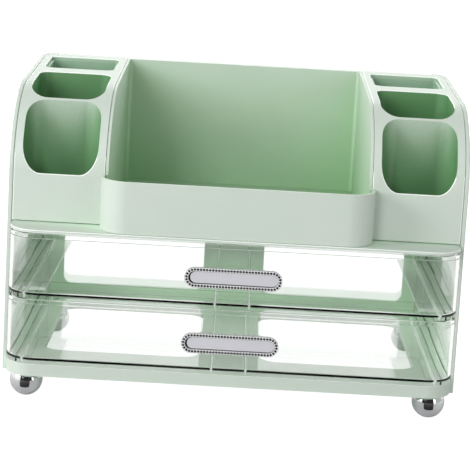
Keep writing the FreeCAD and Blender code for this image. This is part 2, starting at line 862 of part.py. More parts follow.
def compartment_block(label, side):
    """A box with three wells, whose front and top follow the side panels."""
    body = new_body(label)
    near = total(size("bin_half_width"), size("lift_gap"))
    far = less(INNER_HALF, size("lift_gap"))
    wall = size("box_wall")
    well_near = total(near, size("well_margin"))
    well_far = less(far, size("well_margin"))
    front = total(size("panel_setback"), wall)
    front_end = total(front, size("front_well_depth"))
    middle = total(front_end, wall)
    middle_end = total(middle, size("middle_well_depth"))
    rear = total(middle_end, size("well_spacing"))
    rear_end = less(BOX_BACK, size("rear_well_margin"))

    def slab(name, low, high, inset, bottom, back):
        offset = low if side > 0 else signed(side, high)
        sketch = new_sketch(body, name, "YZ", offset)
        draw_profile(sketch, inset, bottom, back)
        return sketch

    pad(body, slab("outline", near, far, "0", BOX_BOTTOM, BOX_BACK), less(far, near))
    outer = side * measure(far)
    back = measure(BOX_BACK)
    round_edges(
        body,
        "rear_corner",
        less(INNER_CORNER, size("lift_gap")),
        lambda edge: lies_at(edge, "X", outer) and lies_at(edge, "Y", back),
    )
    cavity = slab("cavity", total(near, wall), less(far, wall), wall, "0", less(BOX_BACK, wall))
    pocket(body, cavity, less(far, near, wall, wall), upwards=True)
    floor_low = less(BOX_FLOOR, size("box_floor_thickness"))
    core_near, core_far = less(well_near, wall), total(well_far, wall)
    core = slab("core", core_near, core_far, "0", floor_low, total(rear_end, wall))
    pad(body, core, less(core_far, core_near))

    gap = new_sketch(body, "well_gap", "XY")
    left, right = between(side, core_near, core_far)
    draw_rectangle(gap, left, right, total(middle_end, wall), less(rear, wall))
    pocket(body, gap, less(profile_height(middle_end), wall, wall), upwards=True)

    left, right = between(side, well_near, well_far)
    wells = new_sketch(body, "wells", "XY", BOX_FLOOR)
    draw_rectangle(wells, left, right, front, front_end, wall, size("front_well_radius"))
    draw_rectangle(
        wells,
        left,
        right,
        middle,
        middle_end,
        size("middle_well_front_radius"),
        size("middle_well_rear_radius"),
    )
    ledge = size("rear_ledge_width")
    draw_rectangle(
        wells,
        total(left, ledge),
        less(right, ledge),
        total(rear, ledge),
        less(rear_end, ledge),
        less(size("rear_well_front_radius"), ledge),
        less(size("rear_well_rear_radius"), ledge),
    )
    pocket(body, wells, upwards=True)

    # The rear well's ledge lies parallel to the sloping top
    ledges = new_sketch(body, "rear_ledge", "XY", total(profile_height(rear), wall))
    ledges.setExpression("AttachmentOffset.Base.y", rear)
    ledges.setExpression("AttachmentOffset.Rotation.Angle", "(sizes.top_slope * 1 deg)")
    ledges.setExpression("AttachmentOffset.Rotation.Axis.x", "1")
    ledges.setExpression("AttachmentOffset.Rotation.Axis.z", "0")
    draw_rectangle(
        ledges,
        left,
        right,
        "0",
        less(rear_end, rear),
        size("rear_well_front_radius"),
        size("rear_well_rear_radius"),
    )
    pocket(body, ledges, total(size("rear_ledge_depth"), wall))

    sill = new_sketch(body, "front_sill", "XZ", less("0", front, wall))
    draw_rectangle(
        sill,
        left,
        right,
        total(SHELF_LEVEL, size("front_sill_rise")),
        total(SHOULDER_LEVEL, size("shoulder_radius")),
        size("front_sill_radius"),
    )
    pocket(body, sill, upwards=True)
    return body


# The whole organizer, each piece under the name of its file

nodes = [
    base_tray(),
    side_panel("left_side_panel", -1),
    side_panel("right_side_panel", 1),
    back_panel(),
    drawer_rail("left_drawer_rail", -1),
    drawer_rail("right_drawer_rail", 1),
    top_shelf(),
    compartment_block("left_compartment_block", -1),
    compartment_block("right_compartment_block", 1),
    centre_bin(),
    foot_screws(),
]
for place, (across, along) in foot_places().items():
    nodes.append(foot(place, across, along))
for prefix, seat in (("upper", RAIL_LEVEL), ("lower", FLOOR_LEVEL)):
    handle_level = total(seat, SEAT_TO_DRAWER, size("handle_rise"))
    nodes.append(drawer(prefix + "_drawer", seat))
    nodes += handle(prefix, handle_level)
    nodes.append(handle_beads(prefix, handle_level))
    nodes.append(handle_screws(prefix, handle_level))
doc.recompute()

for item in doc.Objects:
    if "Invalid" in item.State or "Error" in item.State:
        raise ValueError(item.Name + " failed: " + str(item.State))
os.makedirs("parts", exist_ok=True)
for node in nodes:
    shape = node.Shape
    if shape.isNull() or not shape.isValid():
        raise ValueError(node.Label + " has no valid shape")
    box = shape.BoundBox
    print(
        "%-24s %2d solids %10.1f mm3  x %7.1f %7.1f  y %7.1f %7.1f  z %6.1f %6.1f"
        % (
            node.Label,
            len(shape.Solids),
            shape.Volume,
            box.XMin,
            box.XMax,
            box.YMin,
            box.YMax,
            box.ZMin,
            box.ZMax,
        )
    )
    shape.exportStep("parts/%s.step" % node.Label)
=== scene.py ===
# %% [markdown]
# # A makeup organizer with two clear drawers
#
# The organizer is a satin mint green plastic stand on four chrome balls. Two clear
# drawers slide in it, and an open bin and two boxes with wells stand on its shelf.
# Its construction is already solved in CAD, so this lesson gives it its looks: each
# shape is modelled again with soft edges and gets a finish made of nodes.
#
# Whatever is made here sits in the same place, in metres, and is finally hung on
# the body that it moves with.

# %% Load the frame
import json
import math

import bmesh
import bpy
from mathutils import Matrix, Vector

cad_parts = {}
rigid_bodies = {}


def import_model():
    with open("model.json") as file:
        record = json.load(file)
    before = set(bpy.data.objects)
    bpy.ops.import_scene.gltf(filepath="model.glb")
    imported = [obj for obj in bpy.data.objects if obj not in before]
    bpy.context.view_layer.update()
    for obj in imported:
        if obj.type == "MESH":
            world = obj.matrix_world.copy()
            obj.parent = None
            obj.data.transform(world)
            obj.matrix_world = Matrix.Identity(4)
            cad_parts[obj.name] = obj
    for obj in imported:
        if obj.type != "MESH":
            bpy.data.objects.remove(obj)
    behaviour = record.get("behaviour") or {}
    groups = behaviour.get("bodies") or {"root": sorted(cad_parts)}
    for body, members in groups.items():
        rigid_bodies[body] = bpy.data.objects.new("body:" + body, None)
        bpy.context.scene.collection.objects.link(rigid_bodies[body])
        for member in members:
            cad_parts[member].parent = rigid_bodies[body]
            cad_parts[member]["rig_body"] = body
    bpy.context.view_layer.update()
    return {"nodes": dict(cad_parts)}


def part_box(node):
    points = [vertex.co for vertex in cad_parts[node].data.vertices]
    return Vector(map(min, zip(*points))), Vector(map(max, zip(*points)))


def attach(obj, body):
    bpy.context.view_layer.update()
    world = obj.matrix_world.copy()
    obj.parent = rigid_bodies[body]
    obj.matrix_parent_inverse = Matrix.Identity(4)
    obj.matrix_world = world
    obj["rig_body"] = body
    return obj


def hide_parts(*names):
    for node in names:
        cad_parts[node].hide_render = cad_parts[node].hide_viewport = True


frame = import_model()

# %% [markdown]
# ## Measures
#
# Moulded goods are drawn in millimetres, from one reference plane. Here y counts back
# from the drawers' fronts and z up from the table, so that the numbers are those that a
# ruler on the object gives.

# %% Millimetres and places
MM = 0.001
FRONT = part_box("upper_drawer")[0].y


def place(x, y, z):
    """A point in metres, from millimetres."""
    return Vector((x * MM, FRONT + y * MM, z * MM))


def in_mm(point):
    return point.x / MM, (point.y - FRONT) / MM, point.z / MM


print("Drawers' front plane at y =", round(FRONT, 5))

# %% [markdown]
# ## Starting shapes
#
# Nearly everything on the organizer is a box with rounded upright corners. A cube of the
# right size is the start, and the bevel tool turns a corner into an arc: with its offset
# measured along the faces, a corner of 90 degrees gets a radius equal to the offset.
#
# Each tool acts on what is selected, so everything is deselected first, and edges are
# picked in code by the axis that they follow and by their place.

# %% A block
CLOSE = 0.01  # places no more millimetres apart than this count as one


def pick(piece):
    """Selects one piece alone and makes it the active one."""
    bpy.ops.object.select_all(action="DESELECT")
    piece.select_set(True)
    bpy.context.view_layer.objects.active = piece


def edit(piece):
    """Opens one piece alone in edit mode."""
    pick(piece)
    bpy.ops.object.mode_set(mode="EDIT")


def leave():
    bpy.ops.object.mode_set(mode="OBJECT")


def settle(name):
    """Applies the place and size of a new primitive and names it."""
    bpy.ops.object.transform_apply(location=True, rotation=True, scale=True)
    piece = bpy.context.object
    piece.name = piece.data.name = name
    return piece


def block(name, low, high):
    """A cube between two corners."""
    low, high = place(*low), place(*high)
    bpy.ops.object.select_all(action="DESELECT")
    bpy.ops.mesh.primitive_cube_add(size=1, location=(low + high) / 2, scale=high - low)
    return settle(name)


# %% Rounded corners


def describe(edge):
    """The axis that an edge follows, or None, and its middle in millimetres."""
    start, end = (corner.co for corner in edge.verts)
    step = end - start
    axis = next((n for n, part in zip("xyz", step) if abs(part) > 0.999 * step.length), None)
    return (axis, *in_mm((start + end) / 2))


def choose(piece, kind, test):
    """Selects the edges or faces of an open piece that pass the test, and lists them."""
    bpy.ops.mesh.select_mode(type=kind)
    bpy.ops.mesh.select_all(action="DESELECT")
    mesh = bmesh.from_edit_mesh(piece.data)
    parts = mesh.edges if kind == "EDGE" else mesh.faces
    chosen = [part for part in parts if test(part)]
    for part in chosen:
        part.select_set(True)
    bmesh.update_edit_mesh(piece.data)
    return chosen


def round_edges(piece, radius, test, segments=12):
    """Turns the edges whose description passes the test into arcs."""
    edit(piece)
    choose(piece, "EDGE", lambda edge: test(*describe(edge)))
    bpy.ops.mesh.bevel(offset=radius * MM, segments=segments, profile=0.5, affect="EDGES")
    leave()


def rounded_block(name, low, high, front_radius, rear_radius):
    """A block whose upright corners are rounded, in front and at the back."""
    piece = block(name, low, high)
    for radius, level in ((front_radius, low[1]), (rear_radius, high[1])):
        if radius:
            round_edges(
                piece,
                radius,
                lambda axis, x, y, z, level=level: axis == "z" and abs(y - level) < CLOSE,
            )
    return piece


# %% [markdown]
# ## The side profile
#
# Seen from the side, the panels, the boxes and the bin share one outline: upright in
# front, an arc of 60 mm over the shoulder, and a top that climbs 4.5 degrees to the back.
# The arc touches both lines when the bevel's offset is the radius times the tangent of
# half the turn. A bisection with a tilted plane gives the sloping top before that.

# %% Slabs with the side profile
SETBACK = 29.5
SHOULDER_LEVEL = 161
SHOULDER_RADIUS = 60
SLOPE = math.radians(4.5)
HALF_TURN = (math.pi / 2 - SLOPE) / 2
UPWARDS = (0, -math.sin(SLOPE), math.cos(SLOPE))
UNCUT_TOP = 250


def top_level(y, inset=0.0):
    """How high the sloping top is, that far back."""
    corner = SHOULDER_LEVEL + (SHOULDER_RADIUS - inset) * math.tan(HALF_TURN)
    return corner + (y - SETBACK - inset) * math.tan(SLOPE)


def bisect(piece, point, normal, keep_below):
    """Cuts a piece with a plane, closes it and keeps one side."""
    edit(piece)
    bpy.ops.mesh.select_all(action="SELECT")
    bpy.ops.mesh.bisect(
        plane_co=point,
        plane_no=normal,
        use_fill=True,
        clear_outer=keep_below,
        clear_inner=not keep_below,
    )
    leave()


def slab(name, x_low, x_high, bottom, back, inset=0.0):
    """A slab between two planes across, whose outline is the side profile drawn inset."""
    front = SETBACK + inset
    piece = block(name, (x_low, front, bottom), (x_high, back, UNCUT_TOP))
    bisect(piece, place(0, front, top_level(front, inset)), UPWARDS, keep_below=True)
    round_edges(
        piece,
        (SHOULDER_RADIUS - inset) * math.tan(HALF_TURN),
        lambda axis, x, y, z: axis == "x" and y < front + CLOSE and z > bottom + 1,
        segments=28,
    )
    return piece


print("Top of the back:", round(top_level(200), 2), "mm")

# %% [markdown]
# ## Cutting and welding
#
# A hollow is the volume that a mould's core takes up, so it is made the same way: a
# block with the hollow's shape is subtracted. The tool is used up by that. The exact
# solver copes with faces that lie in one plane. Cutting blocks reach past what they cut.

# %% Carve and weld
SKY = 260
CUT_FRONT = 20
PAST = 5


def apply_modifier(piece, modifier):
    pick(piece)
    bpy.ops.object.modifier_apply(modifier=modifier.name)


def combine(piece, operation, tools):
    for tool in tools:
        change = piece.modifiers.new("combine", "BOOLEAN")
        change.operation = operation
        change.solver = "EXACT"
        change.object = tool
        apply_modifier(piece, change)
        bpy.data.objects.remove(tool, do_unlink=True)
    return piece


def carve(piece, *tools):
    return combine(piece, "DIFFERENCE", tools)


def weld(piece, *tools):
    return combine(piece, "UNION", tools)


# %% [markdown]
# ## Copies
#
# The left side is the right side in a mirror, both drawers come from one mould, and all
# four feet are the same ball. A copy gets its own mesh, and it is moved in edit mode, so
# that its object stays at the origin. A mirrored mesh is inside out until its normals
# are worked out again.

# %% Copy, move and mirror
DRAWER_PITCH = 47.5


def copy_of(piece, name, shift=(0, 0, 0), mirror=False):
    pick(piece)
    bpy.ops.object.duplicate()
    twin = bpy.context.object
    twin.name = twin.data.name = name
    edit(twin)
    bpy.ops.mesh.select_all(action="SELECT")
    bpy.ops.transform.translate(value=Vector(shift) * MM)
    if mirror:
        bpy.ops.transform.resize(value=(-1, 1, 1), center_override=(0, 0, 0))
        bpy.ops.mesh.normals_make_consistent(inside=False)
    leave()
    return twin


def upper_and_lower(upper, part):
    """A piece of the upper drawer and its copy for the lower one, each with its word."""
    lower = copy_of(upper, "lower_" + part, shift=(0, 0, -DRAWER_PITCH))
    return ("upper", upper), ("lower", lower)


# %% [markdown]
# ## Soft edges
#
# No moulded edge is sharp: the steel of the mould has a small radius everywhere, and it
# is that radius which catches the light as a thin pale line. A bevel limited by angle
# gives it to all edges at once. Weighted normals then keep the large faces looking flat.
#
# The bevel can give its new faces a material of their own: the last of the finishes that
# are named with the piece. On mint pieces that finish is a painted highlight, the pale
# line, and on the side panels it is painted shade. Drawers, handles and feet name none,
# and their edges look like the faces beside them.

# %% Soften
SHARP = math.radians(32)


def add_finishes(piece, *finishes):
    for finish in finishes:
        piece.data.materials.append(finish.material)


def finish_all(piece, chosen, *finishes):
    """Adds finishes and gives every face the chosen one of them."""
    add_finishes(piece, *finishes)
    for face in piece.data.polygons:
        face.material_index = finishes.index(chosen)


def merge_doubles(piece, distance):
    """Leaves the piece open in edit mode, with all of it selected."""
    edit(piece)
    bpy.ops.mesh.select_all(action="SELECT")
    bpy.ops.mesh.remove_doubles(threshold=distance * MM)


def soften(piece, width, segments=2, finishes=(), seam=None):
    """Rounds all edges; the new faces get the last of the finishes.

    Where a piece stands on another one, it is cut off sharp at the seam's level.
    """
    if not piece.data.materials:
        add_finishes(piece, *finishes)
    merge_doubles(piece, 0.005)
    leave()
    bevel = piece.modifiers.new("soft_edges", "BEVEL")
    bevel.width = width * MM
    bevel.segments = segments
    bevel.limit_method = "ANGLE"
    bevel.angle_limit = SHARP
    # The last finish paints the bevel faces: painted highlight on mint, painted shade on the
    # panels.
    bevel.material = len(finishes) - 1
    apply_modifier(piece, bevel)
    if seam:
        bisect(piece, place(0, 0, seam), (0, 0, 1), keep_below=False)
    bpy.ops.object.shade_smooth_by_angle(angle=math.radians(50))
    normals = piece.modifiers.new("even_normals", "WEIGHTED_NORMAL")
    normals.keep_sharp = True
    apply_modifier(piece, normals)
    return piece


# %% [markdown]
# ## Node helpers for the finishes
#
# Every finish starts from the Principled shader, and noise in object coordinates makes
# it uneven, as real surfaces are: in colour, in gloss and, as bump, in height. The
# scales are per metre, so a scale of 400 gives features of about 2.5 mm.

# %% Noise, ranges and bump


class Finish:
    """A material with its Principled shader at hand."""

    def __init__(self, name, **values):
        self.material = bpy.data.materials.new(name)
        self.material.use_nodes = True
        self.tree = self.material.node_tree
        self.shader = self.tree.nodes["Principled BSDF"]
        for socket, value in values.items():
            self.shader.inputs[socket.replace("_", " ")].default_value = value

    def add(self, kind, **inputs):
        node = self.tree.nodes.new(kind)
        for socket, value in inputs.items():
            node.inputs[socket.replace("_", " ")].default_value = value
        return node

    def link(self, output, socket):
        self.tree.links.new(output, socket)

    def noise(self, scale, detail=2.0, stretch=(1, 1, 1)):
        coordinates = self.add("ShaderNodeTexCoord")
        mapping = self.add("ShaderNodeMapping", Scale=stretch)
        texture = self.add("ShaderNodeTexNoise", Scale=scale, Detail=detail)
        self.link(coordinates.outputs["Object"], mapping.inputs["Vector"])
        self.link(mapping.outputs["Vector"], texture.inputs["Vector"])
        return texture.outputs["Fac"]

    def range(self, value, low, high, start=0.3, end=0.7):
        node = self.add("ShaderNodeMapRange")
        for number, limit in enumerate((start, end, low, high), start=1):
            node.inputs[number].default_value = limit
        self.link(value, node.inputs[0])
        return node.outputs[0]

    def mix(self, value, first, second):
        node = self.add("ShaderNodeMix")
        node.data_type = "RGBA"
        for colour, socket in ((first, node.inputs[6]), (second, node.inputs[7])):
            if isinstance(colour, bpy.types.NodeSocket):
                self.link(colour, socket)
            else:
                socket.default_value = (*colour, 1)
        self.link(value, node.inputs[0])
        return node.outputs[2]

    def bump(self, value, height, strength=1.0):
        node = self.add("ShaderNodeBump", Strength=strength, Distance=height * MM)
        self.link(value, node.inputs["Height"])
        self.link(node.outputs["Normal"], self.shader.inputs["Normal"])

    def drive(self, socket, output):
        self.link(output, self.shader.inputs[socket])

    def tint(self, noise, first, second):
        """Clouds the colour between two tones."""
        self.drive("Base Color", self.mix(noise, first, second))

    def gloss(self, noise, low, high):
        """Lets the roughness wander between two values."""
        self.drive("Roughness", self.range(noise, low, high))


# %% [markdown]
# ## Satin mint plastic
#
# The stand and the boxes are ABS, coloured in the mass and moulded in a mould with a
# fine satin texture. A plain colour would look like paint on a screen. The real surface
# has cloudy, barely visible shifts of tone where the melt cooled, a gloss that differs
# a little from place to place, and a fine grain.
#
# Light that falls into a well bounces from mint to mint and gets deeper and greener.
# Here that shade is painted: an ambient occlusion node tells how open a point is within a
# short reach, and that mixes a darker tone of painted shade into closed places. Behind the
# drawers the painted tone is a light one, painted light for the light that comes in there
# through the clear plastic.

# %% Mint tones
MINT = (0.58, 0.65, 0.58)
MINT_CLOUD = (0.56, 0.635, 0.565)
# Painted highlight for the rounded edges of the mint pieces.
MINT_EDGE_PAINTED_HIGHLIGHT = (0.97, 1.0, 0.97)
# Painted shade for the rounded edges of the side panels.
PANEL_EDGE_PAINTED_SHADE = (0.50, 0.57, 0.50)
# Painted light for the closed places of back and frame behind the drawers.
BACK_PAINTED_LIGHT = (0.74, 1.0, 0.74)
FRAME_PAINTED_LIGHT = (0.74, 0.95, 0.74)
# Painted shade for the wells, lighter in the rear ones.
WELL_PAINTED_SHADE = (0.105, 0.26, 0.105)
REAR_WELL_PAINTED_SHADE = (0.24, 0.39, 0.26)
# Painted shade for the bin.
BIN_PAINTED_SHADE = (0.31, 0.52, 0.29)


def mint_plastic(name, colours, deep, reach, openness, curve=1, alone=True):
    """Satin plastic that takes a painted tone where faces within reach close it in.

    The tone goes from the painted one to plain between the two values of openness, and a
    curve above one keeps it painted for longer: painted shade in wells and bin, painted
    light on frame and back. A piece that is alone looks only at its own faces.
    """
    finish = Finish(name, IOR=1.5)
    clouded = finish.mix(finish.range(finish.noise(14, 3), 0, 1), *colours)
    # Occlusion mixes the painted tone into closed places: painted shade, and behind the
    # drawers painted light.
    hollow = finish.add("ShaderNodeAmbientOcclusion", Distance=reach)
    hollow.samples = 8
    hollow.only_local = alone
    curved = finish.add("ShaderNodeMath")
    curved.operation = "POWER"
    curved.inputs[1].default_value = curve
    finish.link(finish.range(hollow.outputs["AO"], 0, 1, *openness), curved.inputs[0])
    finish.drive("Base Color", finish.mix(curved.outputs[0], deep, clouded))
    finish.gloss(finish.noise(45, 2), 0.34, 0.46)
    finish.bump(finish.noise(1600, 3), 0.02, 0.5)
    return finish


# %% Mint finishes
PLAIN = (MINT, MINT_CLOUD)
PAINTED_HIGHLIGHT_TONES = (MINT_EDGE_PAINTED_HIGHLIGHT, MINT_EDGE_PAINTED_HIGHLIGHT)
EDGE_REACH, WELL_REACH, BIN_REACH = 0.05, 0.10, 0.15

# Frame and back: painted light where other parts close them in.
frame_mint_painted_light = mint_plastic(
    "frame_mint_plastic_painted_light", PLAIN, FRAME_PAINTED_LIGHT, EDGE_REACH, (0.3, 0.7), alone=False
)
back_mint_painted_light = mint_plastic(
    "back_mint_plastic_painted_light", PLAIN, BACK_PAINTED_LIGHT, EDGE_REACH, (0.88, 0.99), alone=False
)
# Painted shade: the wells darken and turn greener where their walls close them in.
well_mint_painted_shade = mint_plastic(
    "well_mint_plastic_painted_shade", PLAIN, WELL_PAINTED_SHADE, WELL_REACH, (0.45, 1.0), curve=3
)
rear_well_mint_painted_shade = mint_plastic(
    "rear_well_mint_plastic_painted_shade", PLAIN, REAR_WELL_PAINTED_SHADE, WELL_REACH, (0.4, 1.0)
)
# Painted shade: the bin darkens where its walls close it in.
bin_mint_painted_shade = mint_plastic("bin_mint_plastic_painted_shade", PLAIN, BIN_PAINTED_SHADE, BIN_REACH, (0.25, 0.9))
# Edge finishes: a painted highlight, which fades to the painted tone in closed places.
mint_edge_painted_highlight = mint_plastic("mint_plastic_edges_painted_highlight", PAINTED_HIGHLIGHT_TONES, MINT, EDGE_REACH, (0.2, 0.9))
well_edge_painted_highlight = mint_plastic("well_edges_painted_highlight", PAINTED_HIGHLIGHT_TONES, WELL_PAINTED_SHADE, EDGE_REACH, (0.5, 0.8))
bin_edge_painted_highlight = mint_plastic("bin_edges_painted_highlight", PAINTED_HIGHLIGHT_TONES, BIN_PAINTED_SHADE, EDGE_REACH, (0.5, 0.8))
# Panel edges: painted shade on the bevels, with the frame's painted light in closed places.
panel_edge_painted_shade = mint_plastic(
    "panel_edges_painted_shade", (PANEL_EDGE_PAINTED_SHADE, PANEL_EDGE_PAINTED_SHADE), FRAME_PAINTED_LIGHT, EDGE_REACH, (0.1, 0.8)
)
PANEL_FINISHES = (frame_mint_painted_light, panel_edge_painted_shade)
FRAME_FINISHES = (frame_mint_painted_light, mint_edge_painted_highlight)
BACK_FINISHES = (back_mint_painted_light, mint_edge_painted_highlight)
WELL_FINISHES = (well_mint_painted_shade, rear_well_mint_painted_shade, well_edge_painted_highlight)
BIN_FINISHES = (bin_mint_painted_shade, bin_edge_painted_highlight)
print("Made", len(bpy.data.materials), "materials so far")

# %% [markdown]
# ## Clear drawer plastic
#
# The drawers are clear polystyrene. Glass-like transmission gives the thin dark and
# bright lines along the edges. Light that enters the edge of the thin floor is caught in
# it, and that alone draws the black line along the drawer's foot. The runners are
# frosted: a rough, pale skin with some transparency.

# %% Clear plastic
clear = Finish("clear_plastic", Transmission_Weight=1.0, IOR=1.35)
clear.tint(clear.noise(40), (1, 1, 1), (0.97, 0.99, 0.975))
clear.gloss(clear.noise(60), 0.0, 0.015)
clear.bump(clear.noise(80, 1), 0.002, 0.1)

frosted = Finish("frosted_runner_plastic", Roughness=0.6, Alpha=0.45)
frosted.tint(frosted.noise(300), (0.97, 1.0, 0.97), (0.9, 0.96, 0.91))
frosted.bump(frosted.noise(900), 0.01, 0.4)
print("Made", clear.material.name, "and", frosted.material.name)

# %% [markdown]
# ## Metals, inlay and beads
#
# The feet are plated balls, so close to a mirror that they live from what they reflect.
# The handle plate has a dull silver finish, a pale channel with black beads and a smooth
# grey inlay. True metal would show the dark cards in front of the organizer there, so
# these finishes are only a little metallic. Screws are zinc, with marks of the tool.

# %% Chrome and steel
chrome = Finish("foot_chrome", Metallic=1.0)
chrome.tint(chrome.noise(90), (0.90, 0.90, 0.92), (0.82, 0.82, 0.85))
chrome.gloss(chrome.noise(300, 3), 0.02, 0.06)
chrome.bump(chrome.noise(180), 0.004, 0.3)

steel = Finish("screw_steel", Metallic=1.0)
steel.tint(steel.noise(800), (0.52, 0.52, 0.53), (0.40, 0.40, 0.41))
steel.gloss(steel.noise(1200), 0.28, 0.45)
steel.bump(steel.noise(1600), 0.01, 0.5)

# %% Handle finishes
plating = Finish("handle_plating", Metallic=0.2)
plating.tint(plating.noise(200), (0.62, 0.62, 0.63), (0.56, 0.56, 0.58))
plating.gloss(plating.noise(400, 3), 0.22, 0.32)
plating.bump(plating.noise(700), 0.004, 0.3)

channel = Finish("handle_channel")
channel.tint(channel.noise(900), (1.0, 1.0, 1.0), (0.94, 0.94, 0.95))
channel.gloss(channel.noise(600), 0.35, 0.5)
channel.bump(channel.noise(1500), 0.004, 0.4)

inlay = Finish("handle_inlay", Metallic=0.1)
inlay.tint(inlay.noise(1500, 1), (0.60, 0.60, 0.645), (0.68, 0.68, 0.72))
inlay.gloss(inlay.noise(250, 2, stretch=(1, 1, 2)), 0.32, 0.42)
inlay.bump(inlay.noise(1500, 1), 0.003, 0.3)

beads = Finish("handle_beads", Specular_IOR_Level=0.0)
beads.tint(beads.noise(500), (0.006, 0.006, 0.007), (0.01, 0.01, 0.011))
beads.gloss(beads.noise(900), 0.2, 0.35)
beads.bump(beads.noise(1200), 0.01, 0.4)
print("Made", len(bpy.data.materials), "materials so far")

# %% [markdown]
# ## Hanging a piece on the frame
#
# When a piece is done it gets its finish, stands for its CAD node, which is hidden from
# then on, and rides on the body that the node belongs to. The size of its box is
# compared with the node's, because looks must not change the object's dimensions.

# %% Hang


def hang(piece, node, finish):
    if not piece.data.materials:
        add_finishes(piece, finish)
    low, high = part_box(node)
    points = [vertex.co for vertex in piece.data.vertices]
    gaps = [abs(min(p[i] for p in points) - low[i]) for i in range(3)]
    gaps += [abs(max(p[i] for p in points) - high[i]) for i in range(3)]
    body = frame["nodes"][node]["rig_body"]
    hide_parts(node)
    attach(piece, body)
    faces = len(piece.data.polygons)
    print(f"{piece.name}: {faces} faces, box within {max(gaps) / MM:.2f} mm, on {body}")


# %% [markdown]
# ## Side panels
#
# Each panel is a 3 mm wall that turns round the rear corner and returns 12 mm along the
# back, to which the back panel is joined. A slab as deep as the return is carved from
# inside, with a rounded inner corner, and then the outer corner is rounded. The left
# panel is a mirrored copy.

# %% Side panels
HALF_WIDTH, INNER_HALF, RETURN_HALF = 165, 162, 153
BACK, INNER_BACK = 200, 197
OUTER_CORNER, INNER_CORNER = 11, 8
PANEL_BOTTOM = 14


def rear_outer_corner(x_least, y_least):
    """A test for the upright edge at a piece's outer rear corner."""
    return lambda axis, x, y, z: axis == "z" and x > x_least - CLOSE and y > y_least - CLOSE


right_panel = slab("right_side_panel_moulding", RETURN_HALF, HALF_WIDTH, PANEL_BOTTOM, BACK)
round_edges(right_panel, OUTER_CORNER, rear_outer_corner(HALF_WIDTH, BACK))
inside = block("inside", (RETURN_HALF - PAST, CUT_FRONT, 0), (INNER_HALF, INNER_BACK, SKY))
round_edges(inside, INNER_CORNER, rear_outer_corner(INNER_HALF, INNER_BACK))
carve(right_panel, inside)
left_panel = copy_of(right_panel, "left_side_panel_moulding", mirror=True)
for key, panel in (("left", left_panel), ("right", right_panel)):
    soften(panel, 0.7, 3, PANEL_FINISHES)
    hang(panel, key + "_side_panel", frame_mint_painted_light)

# %% [markdown]
# ## Back panel
#
# The back is a flat wall with two large windows, through which light falls into the
# drawers, and a column between them. The windows' corners are rounded, because a sharp
# inner corner would crack. The rounded edges of the cutting blocks run from front to back.

# %% Back panel
BASE_BOTTOM = 18
COLUMN_HALF, WINDOW_HALF = 25, 141.4
WINDOW_BOTTOM, WINDOW_TOP = 37.7, 112
WINDOW_CORNER = 6.5

back_panel = block(
    "back_panel_moulding",
    (-RETURN_HALF, INNER_BACK, BASE_BOTTOM),
    (RETURN_HALF, BACK, top_level(INNER_BACK)),
)
for side in (-1, 1):
    left, right = sorted((side * COLUMN_HALF, side * WINDOW_HALF))
    low, high = (left, BACK - 2 * PAST, WINDOW_BOTTOM), (right, BACK + PAST, WINDOW_TOP)
    window = block("window", low, high)
    round_edges(window, WINDOW_CORNER, lambda axis, x, y, z: axis == "y")
    carve(back_panel, window)
soften(back_panel, 0.5, 2, BACK_FINISHES)
hang(back_panel, "back_panel", back_mint_painted_light)

# %% [markdown]
# ## Shelf
#
# The shelf above the drawers is a plate that fills the width between the panels at the
# back. In front of them it is a little narrower, with large round corners. The front
# face is extruded in place, narrowed and extruded again for that, as one would by hand.

# %% Plates between the panels
PLATE_HALF = 161
PLATE_STEP = 34
PLATE_CORNER = 20


def stepped_plate(name, front, bottom, top):
    """A plate that is narrower in front, with round corners there and at the back."""
    plate = block(name, (-INNER_HALF, PLATE_STEP, bottom), (INNER_HALF, INNER_BACK, top))
    edit(plate)
    choose(plate, "FACE", lambda face: face.normal.y < -0.9)
    bpy.ops.mesh.extrude_region_move()
    bpy.ops.transform.resize(value=(PLATE_HALF / INNER_HALF, 1, 1), center_override=(0, 0, 0))
    bpy.ops.mesh.extrude_region_move(
        TRANSFORM_OT_translate={"value": (0, (front - PLATE_STEP) * MM, 0)}
    )
    leave()
    round_edges(
        plate, PLATE_CORNER, lambda axis, x, y, z: axis == "z" and y < front + CLOSE
    )
    round_edges(
        plate, INNER_CORNER, lambda axis, x, y, z: axis == "z" and y > INNER_BACK - CLOSE
    )
    return plate


# %% Shelf
SHELF_FRONT, SHELF_BOTTOM, SHELF_TOP = 1, 122.4, 124.5

shelf = stepped_plate("top_shelf_moulding", SHELF_FRONT, SHELF_BOTTOM, SHELF_TOP)
soften(shelf, 0.4, 2, FRAME_FINISHES)
hang(shelf, "top_shelf", frame_mint_painted_light)

# %% [markdown]
# ## Base
#
# The base is a tray turned upside down: a thin floor with a skirt around it, two large
# openings with collars, and a boss over each foot. It starts as the same stepped plate.
# The hollow below is carved out, collars and bosses are welded on, and the openings are
# cut through all of it. The faint round mark in the middle of the floor is where the
# plastic entered the mould.

# %% Openings, collars and bosses
OPENING_SIDES = (22, 137)
OPENING_DEPTHS = (37.5, 175)
OPENING_CORNER = 14
FOOT_PLACES = {
    "front_left": (-145.5, 17),
    "front_right": (145.5, 17),
    "rear_left": (-145.5, 181.5),
    "rear_right": (145.5, 181.5),
}


def floor_opening(side, growth, bottom, top):
    """A block with the plan of one opening, grown all round."""
    near, far = OPENING_SIDES
    left, right = sorted((side * (near - growth), side * (far + growth)))
    front, back = OPENING_DEPTHS
    low, high = (left, front - growth, bottom), (right, back + growth, top)
    corner = OPENING_CORNER + growth
    return rounded_block("opening", low, high, corner, corner)


def upright_cylinder(name, x, y, radius, bottom, top):
    bpy.ops.object.select_all(action="DESELECT")
    bpy.ops.mesh.primitive_cylinder_add(
        vertices=48,
        radius=radius * MM,
        depth=(top - bottom) * MM,
        location=place(x, y, (bottom + top) / 2),
    )
    return settle(name)


